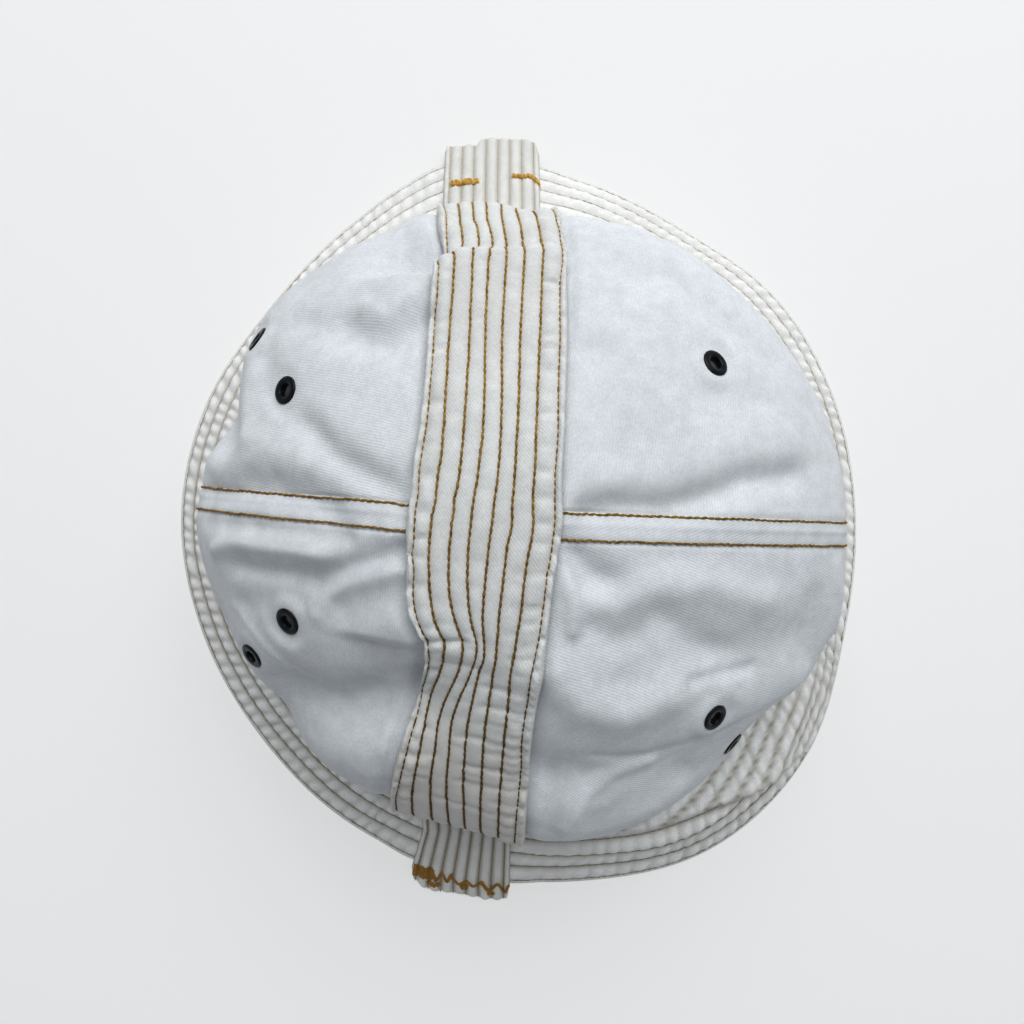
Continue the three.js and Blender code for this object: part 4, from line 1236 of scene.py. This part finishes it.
def strapPaths(rows):
    end = clothLength - 1.5
    along = spaced(-end, end, 0.8)
    for row in rows:
        lane = row + 0.03 * softNoise(along / 2.5, np.full_like(along, row * 3.1), 61)
        normal = normalsOf(strapSurface, along, lane, 0.6, 0.25)
        outwards = crownNormal(*strapPlace(along, strapX(along, lane)))
        yield strapSurface(along, lane, 0.1), normal * np.sign((normal * outwards).sum(-1, keepdims=True))


def seamPaths():
    for seam, fell in sideSeam["seams"].values():
        length = spaced(seamStart(seam) + 0.4, clothLength - 1, 0.9)
        for row in sideSeam["rows"]:
            offset = row + 0.12 * softNoise(length / 3, np.full_like(length, row + seam), 62)
            normal = crownNormal(seamAzimuth(seam, length, offset), length)
            yield seamSurface(seam, fell, length, offset, 0.1), normal


def brimPaths():
    # rows that run right round, cut where the fold turns them, and the turned rows past the fold
    azimuth = np.linspace(0, 360, 900, endpoint=False)
    _, _, shift, closer = foldPlace(azimuth, 0.0)
    for row in range(1, brim["rows"] + brimFold["rowShift"] + 5):
        for turned in (False, True):
            lane = (row - shift) / closer if turned else np.full_like(azimuth, row)
            lane = lane + 0.016 * softNoise(azimuth / 360 * 192, lane * 5, 63)
            share = np.clip(brimShare(azimuth, lane), 0, 1)
            place, slope, _, _ = brimSection(azimuth, share)
            away = foldPlace(azimuth, place[:, 0])[0]
            if turned:
                shown = (shift > 0) & (azimuth > brimFold["sewnFrom"])
            else:
                shown = (shift == 0) | ((away > 0.6) & (azimuth <= brimFold["toTurn"]))
            shown &= (lane > 0.3) & (lane < brim["rows"] + 0.04)
            point = brimSurface(azimuth, share, 0.02)
            normal = onRay(azimuth, -slope[:, 1], slope[:, 0])
            for part in np.split(np.arange(len(azimuth)), np.flatnonzero(np.diff(shown)) + 1):
                if shown[part[0]] and len(part) > 4:
                    yield point[part], normal[part]


def tabPaths(shape):
    points, station = tabFace(shape, np.arange(1.0, 9.0), 0.02)
    for line, run in zip(points, station):
        line = line[run < run[tab["outSteps"] + 3]]
        yield line, unit(np.cross([shape["side"], 0, 0], np.gradient(line, axis=0)))


def ramp(tree, value, fromLow, fromHigh, toLow, toHigh):
    given = {"Value": value, "From Min": fromLow, "From Max": fromHigh, "To Min": toLow, "To Max": toHigh}
    return setup(tree, "ShaderNodeMapRange", given).outputs["Result"]


def noise(tree, place, scale, detail, roughness=0.5):
    given = {"Vector": place, "Scale": scale, "Detail": detail, "Roughness": roughness}
    return setup(tree, "ShaderNodeTexNoise", given).outputs[0]


def blend(tree, factor, first, second, mode="MIX"):
    # each colour is a socket, or red, green and blue
    given = {0: factor, 6: first, 7: second}
    for key in (6, 7):
        if not isinstance(given[key], bpy.types.NodeSocket):
            given[key] = (*given[key], 1)
    return setup(tree, "ShaderNodeMix", given, data_type="RGBA", blend_type=mode).outputs[2]


def twillGroup():
    # diagonal wales of the weave: a line mask, a height, and uneven threads
    group, given, result = nodeGroup(
        "twillWeave",
        (("Place", "Vector"), ("Lean", "Float", 0.8), ("Pitch", "Float", 0.00072), ("Waver", "Float", 0.25)),
        (("Line", "Float"), ("Height", "Float"), ("Slub", "Float")),
    )
    lean = {"Vector": given["Place"], "Angle": given["Lean"]}
    turned = setup(group, "ShaderNodeVectorRotate", lean, rotation_type="Z_AXIS").outputs[0]
    split = setup(group, "ShaderNodeSeparateXYZ", {0: turned}).outputs
    bent = maths(group, "SUBTRACT", noise(group, given["Place"], 260.0, 2.0), 0.5)
    across = maths(group, "DIVIDE", split[0], given["Pitch"])
    across = maths(group, "ADD", across, maths(group, "MULTIPLY", bent, given["Waver"]))
    wale = maths(group, "SINE", maths(group, "MULTIPLY", across, 2 * math.pi))
    # the crossings step on from wale to wale
    stagger = maths(group, "MULTIPLY", maths(group, "FLOOR", across), 0.37)
    step = maths(group, "ADD", maths(group, "DIVIDE", split[1], given["Pitch"]), stagger)
    crossing = maths(group, "SINE", maths(group, "MULTIPLY", step, 2 * math.pi))
    wales, crossings = ramp(group, wale, -1, 1, 0, 0.75), ramp(group, crossing, -1, 1, 0, 0.25)
    stretched = {"Vector": turned, "Scale": (2600.0, 260.0, 900.0)}
    stretched = setup(group, "ShaderNodeMapping", stretched).outputs[0]
    group.links.new(ramp(group, wale, -1, -0.15, 1, 0), result["Line"])
    group.links.new(maths(group, "ADD", wales, crossings), result["Height"])
    group.links.new(noise(group, stretched, 1.0, 1.0), result["Slub"])
    return group


def washGroup():
    # uneven bleach and soft grime of well washed cloth
    group, given, result = nodeGroup(
        "washedCloth",
        (("Place", "Vector"), ("Color", "Color"), ("Grime", "Color"), ("Amount", "Float", 0.3)),
        (("Color", "Color"),),
    )
    patch = ramp(group, noise(group, given["Place"], 28.0, 4.0, 0.6), 0.45, 0.75, 0, 1)
    worn = blend(group, maths(group, "MULTIPLY", patch, given["Amount"]), given["Color"], given["Grime"])
    mottle = ramp(group, noise(group, given["Place"], 240.0, 3.0), 0.3, 0.7, 0.95, 1.04)
    grain = ramp(group, noise(group, given["Place"], 1300.0, 2.0), 0.3, 0.7, 0.95, 1.05)
    light = maths(group, "MULTIPLY", mottle, grain)
    group.links.new(blend(group, 1.0, worn, vector(group, light, light, light), "MULTIPLY"), result["Color"])
    return group


def newMaterial(name, values):
    # the material, its tree, its shader with these values, and the object's own coordinates
    material = bpy.data.materials.new(name)
    material.use_nodes = True
    tree = material.node_tree
    shader = tree.nodes["Principled BSDF"].inputs
    for key, value in values.items():
        shader[key].default_value = value
    return material, tree, shader, setup(tree, "ShaderNodeTexCoord").outputs["Object"]


def clothMaterial(name, look):
    material, tree, shader, spot = newMaterial(name, {
        "Roughness": look["roughness"], "Sheen Weight": look["sheen"], "Specular IOR Level": 0.2,
    })
    place = setup(tree, "ShaderNodeUVMap", uv_map="clothPlace").outputs[0]
    weave = {"Place": place, "Lean": math.radians(look["lean"]), "Pitch": look["pitch"]}
    weave = setup(tree, "ShaderNodeGroup", weave, node_tree=twillWeave).outputs
    wash = {"Place": spot, "Amount": look["amount"]}
    wash.update({"Color": (*look["color"], 1), "Grime": (*look["grime"], 1)})
    washed = setup(tree, "ShaderNodeGroup", wash, node_tree=washedCloth).outputs["Color"]
    lined = maths(tree, "MULTIPLY", weave["Line"], look["contrast"])
    lined = maths(tree, "MULTIPLY", lined, ramp(tree, weave["Slub"], 0.3, 0.7, 0.6, 1.2))
    color = blend(tree, lined, washed, look["line"])
    # painted shade, with some grime, darkens the creases by the crease mask
    shadeMask = setup(tree, "ShaderNodeAttribute", attribute_name="creaseShadeAndGrime").outputs["Fac"]
    color = blend(tree, maths(tree, "MULTIPLY", shadeMask, look["shadeAndGrime"]), color, look["shadeAndGrimeColor"])
    tree.links.new(color, shader["Base Color"])
    bump = {"Height": weave["Height"], "Strength": look["bump"], "Distance": 0.00012}
    tree.links.new(setup(tree, "ShaderNodeBump", bump).outputs[0], shader["Normal"])
    return material


panelLook = {
    "color": (0.785, 0.81, 0.832), "grime": (0.66, 0.685, 0.705), "line": (0.49, 0.52, 0.56), "amount": 0.35,
    "contrast": 0.36, "lean": 0, "pitch": 0.00072, "roughness": 0.88, "sheen": 0.05, "bump": 0.4,
    "shadeAndGrime": 0.0, "shadeAndGrimeColor": (0.4, 0.38, 0.34),
}
seamLook = dict(panelLook, color=(0.74, 0.765, 0.785), lean=70, contrast=0.25)
strapLook = {
    "color": (0.79, 0.80, 0.79), "grime": (0.66, 0.66, 0.63), "line": (0.5, 0.5, 0.5), "amount": 0.4,
    "contrast": 0.26, "lean": -35, "pitch": 0.0007, "roughness": 0.88, "sheen": 0.05, "bump": 0.35,
    "shadeAndGrime": 0.35, "shadeAndGrimeColor": (0.42, 0.38, 0.31),
}
tabLook = dict(strapLook, color=(0.84, 0.84, 0.81), shadeAndGrime=0.62, shadeAndGrimeColor=(0.34, 0.29, 0.22))
brimLook = {
    "color": (0.945, 0.95, 0.94), "grime": (0.8, 0.79, 0.75), "line": (0.5, 0.49, 0.46), "amount": 0.4,
    "contrast": 0.2, "lean": -35, "pitch": 0.0007, "roughness": 0.9, "sheen": 0.05, "bump": 0.3,
    "shadeAndGrime": 0.62, "shadeAndGrimeColor": (0.32, 0.29, 0.22),
}


def threadMaterial(name, dark, light, shadedColor):
    # darker towards the front of the cap: painted shade
    material, tree, shader, spot = newMaterial(name, {"Roughness": 0.6, "Specular IOR Level": 0.3})
    color = blend(tree, ramp(tree, noise(tree, spot, 700.0, 2.0), 0.35, 0.65, 0, 1), dark, light)
    along = setup(tree, "ShaderNodeSeparateXYZ", {0: spot}).outputs[1]
    color = blend(tree, ramp(tree, along, 0.05, -0.07, 0, 0.8), color, shadedColor)
    tree.links.new(color, shader["Base Color"])
    return material


def metalMaterial():
    material, tree, shader, spot = newMaterial("blackEyelet", {
        "Metallic": 0.0, "Coat Weight": 0.2, "Coat Roughness": 0.2, "Specular IOR Level": 0.3,
    })
    wear = noise(tree, spot, 900.0, 3.0)
    color = blend(tree, ramp(tree, wear, 0.4, 0.75, 0, 1), (0.004, 0.007, 0.010), (0.012, 0.019, 0.026))
    tree.links.new(color, shader["Base Color"])
    tree.links.new(ramp(tree, wear, 0.3, 0.7, 0.3, 0.5), shader["Roughness"])
    return material


twillWeave, washedCloth = twillGroup(), washGroup()
for name, (strapSide, seamSide, lean, contrast, litShare) in panel["quarters"].items():
    # painted shade: quarters in shade are made darker
    color = [value * litShare for value in panelLook["color"]]
    twill = clothMaterial(name + "_twill", dict(panelLook, lean=lean, contrast=contrast, color=color))
    addPiece(name + "_cloth", makePanel(name, strapSide, seamSide), name, twill)
print("panels made")

seamTwill = clothMaterial("seam_twill", seamLook)
for name, spec in sideSeam["seams"].items():
    addPiece(name + "_cloth", makeSeam(name, *spec), name, seamTwill)
strapTwill = clothMaterial("strap_twill", strapLook)
addPiece("crown_strap_cloth", makeStrap(), "crown_strap", strapTwill)
addPiece("brim_cloth", makeBrim(), "brim", clothMaterial("brim_twill", brimLook))
tabTwill = clothMaterial("tab_twill", tabLook)
for name, shape in brimTabs.items():
    addPiece(name + "_cloth", makeTab(name, shape), name, tabTwill)
blackEyelet = metalMaterial()
for name, place in eyelet["places"].items():
    addPiece(name + "_ring", makeEyelet(name, *place), name, blackEyelet)
print("strap, brim, tabs and eyelets made")

goldenThread = threadMaterial("goldenThread", (0.26, 0.15, 0.03), (0.54, 0.36, 0.10), (0.085, 0.05, 0.018))
tackGold = threadMaterial("tackGold", (0.5, 0.3, 0.06), (0.78, 0.52, 0.16), (0.33, 0.185, 0.045))
fadedThread = threadMaterial("fadedThread", (0.48, 0.44, 0.36), (0.62, 0.58, 0.49), (0.27, 0.235, 0.175))
tabRows = [path for shape in brimTabs.values() for path in tabPaths(shape)]
sewnRow = rowTree()
for name, paths, kind, thread in (
    ("strapChainThread", strapPaths(range(2, 8)), "chain", goldenThread),
    ("strapLockThread", strapPaths((1, 8)), "lock", goldenThread),
    ("seamThread", seamPaths(), "chain", goldenThread),
    ("brimThread", brimPaths(), "brim", fadedThread),
    ("tabThread", tabRows, "tab", fadedThread),
):
    sew(name, paths, sewnRow, dict(zip(threadSizes, threads[kind])), thread)
tackRows = [tackPath(brimTabs[name], *spec, number) for number, (name, *spec) in enumerate(tacks)]
sew("tackThread", tackRows, lineTree(), tackThread, tackGold)
print("rows sewn")

floorMesh = bpy.data.meshes.new("floor")
floorMesh.from_pydata([(-1.5, -1.5, 0), (1.5, -1.5, 0), (1.5, 1.5, 0), (-1.5, 1.5, 0)], [], [(0, 1, 2, 3)])
floorPaint, floorTree, floorShader, spot = newMaterial("floorPaint", {
    "Base Color": (0.42, 0.42, 0.42, 1), "Roughness": 0.9, "Emission Color": (1, 1, 1, 1),
})
# the floor glows as an even backdrop, but hardly at all below the cap: painted shadow there
fromMiddle = setup(floorTree, "ShaderNodeVectorMath", {0: spot}, operation="LENGTH").outputs["Value"]
floorTree.links.new(ramp(floorTree, fromMiddle, 0.1, 0.128, 0.08, 0.5), floorShader["Emission Strength"])
floorMesh.materials.append(floorPaint)
floor = newObject("floor", floorMesh)

studio = {
    "lightPlace": (0.2, 0.95, 1.2),
    "lightAim": (0, 0, 0.03),
    "lightSize": (1.7, 1.1),
    "lightPower": 19,
    "sky": (0.93, 0.96, 1.0, 1),
    "skyStrength": 0.37,
    "gamma": 0.75,
    "camera": (-0.0026, 0.0024, 0.295),
    # pixels from the lens to the picture plane, which is 1024 pixels wide
    "focus": 724,
}
lamp = bpy.data.lights.new("windowLight", "AREA")
lamp.shape = "RECTANGLE"
lamp.size, lamp.size_y = studio["lightSize"]
lamp.energy = studio["lightPower"]
windowLight = newObject("windowLight", lamp)
windowLight.location = studio["lightPlace"]
toLight = Vector(studio["lightAim"]) - Vector(studio["lightPlace"])
windowLight.rotation_euler = toLight.to_track_quat("-Z", "Y").to_euler()

scene = bpy.context.scene
scene.world = bpy.data.worlds.new("studio")
scene.world.use_nodes = True
sky = scene.world.node_tree.nodes["Background"].inputs
sky["Color"].default_value = studio["sky"]
sky["Strength"].default_value = studio["skyStrength"]
scene.view_settings.view_transform = "Standard"
scene.view_settings.look = "None"
scene.view_settings.gamma = studio["gamma"]

lens = bpy.data.cameras.new("overhead")
lens.sensor_width = 36
lens.lens = studio["focus"] / 1024 * lens.sensor_width
overhead = newObject("overhead", lens)
overhead.location = studio["camera"]
scene.camera = overhead

print("floor, light and camera set")
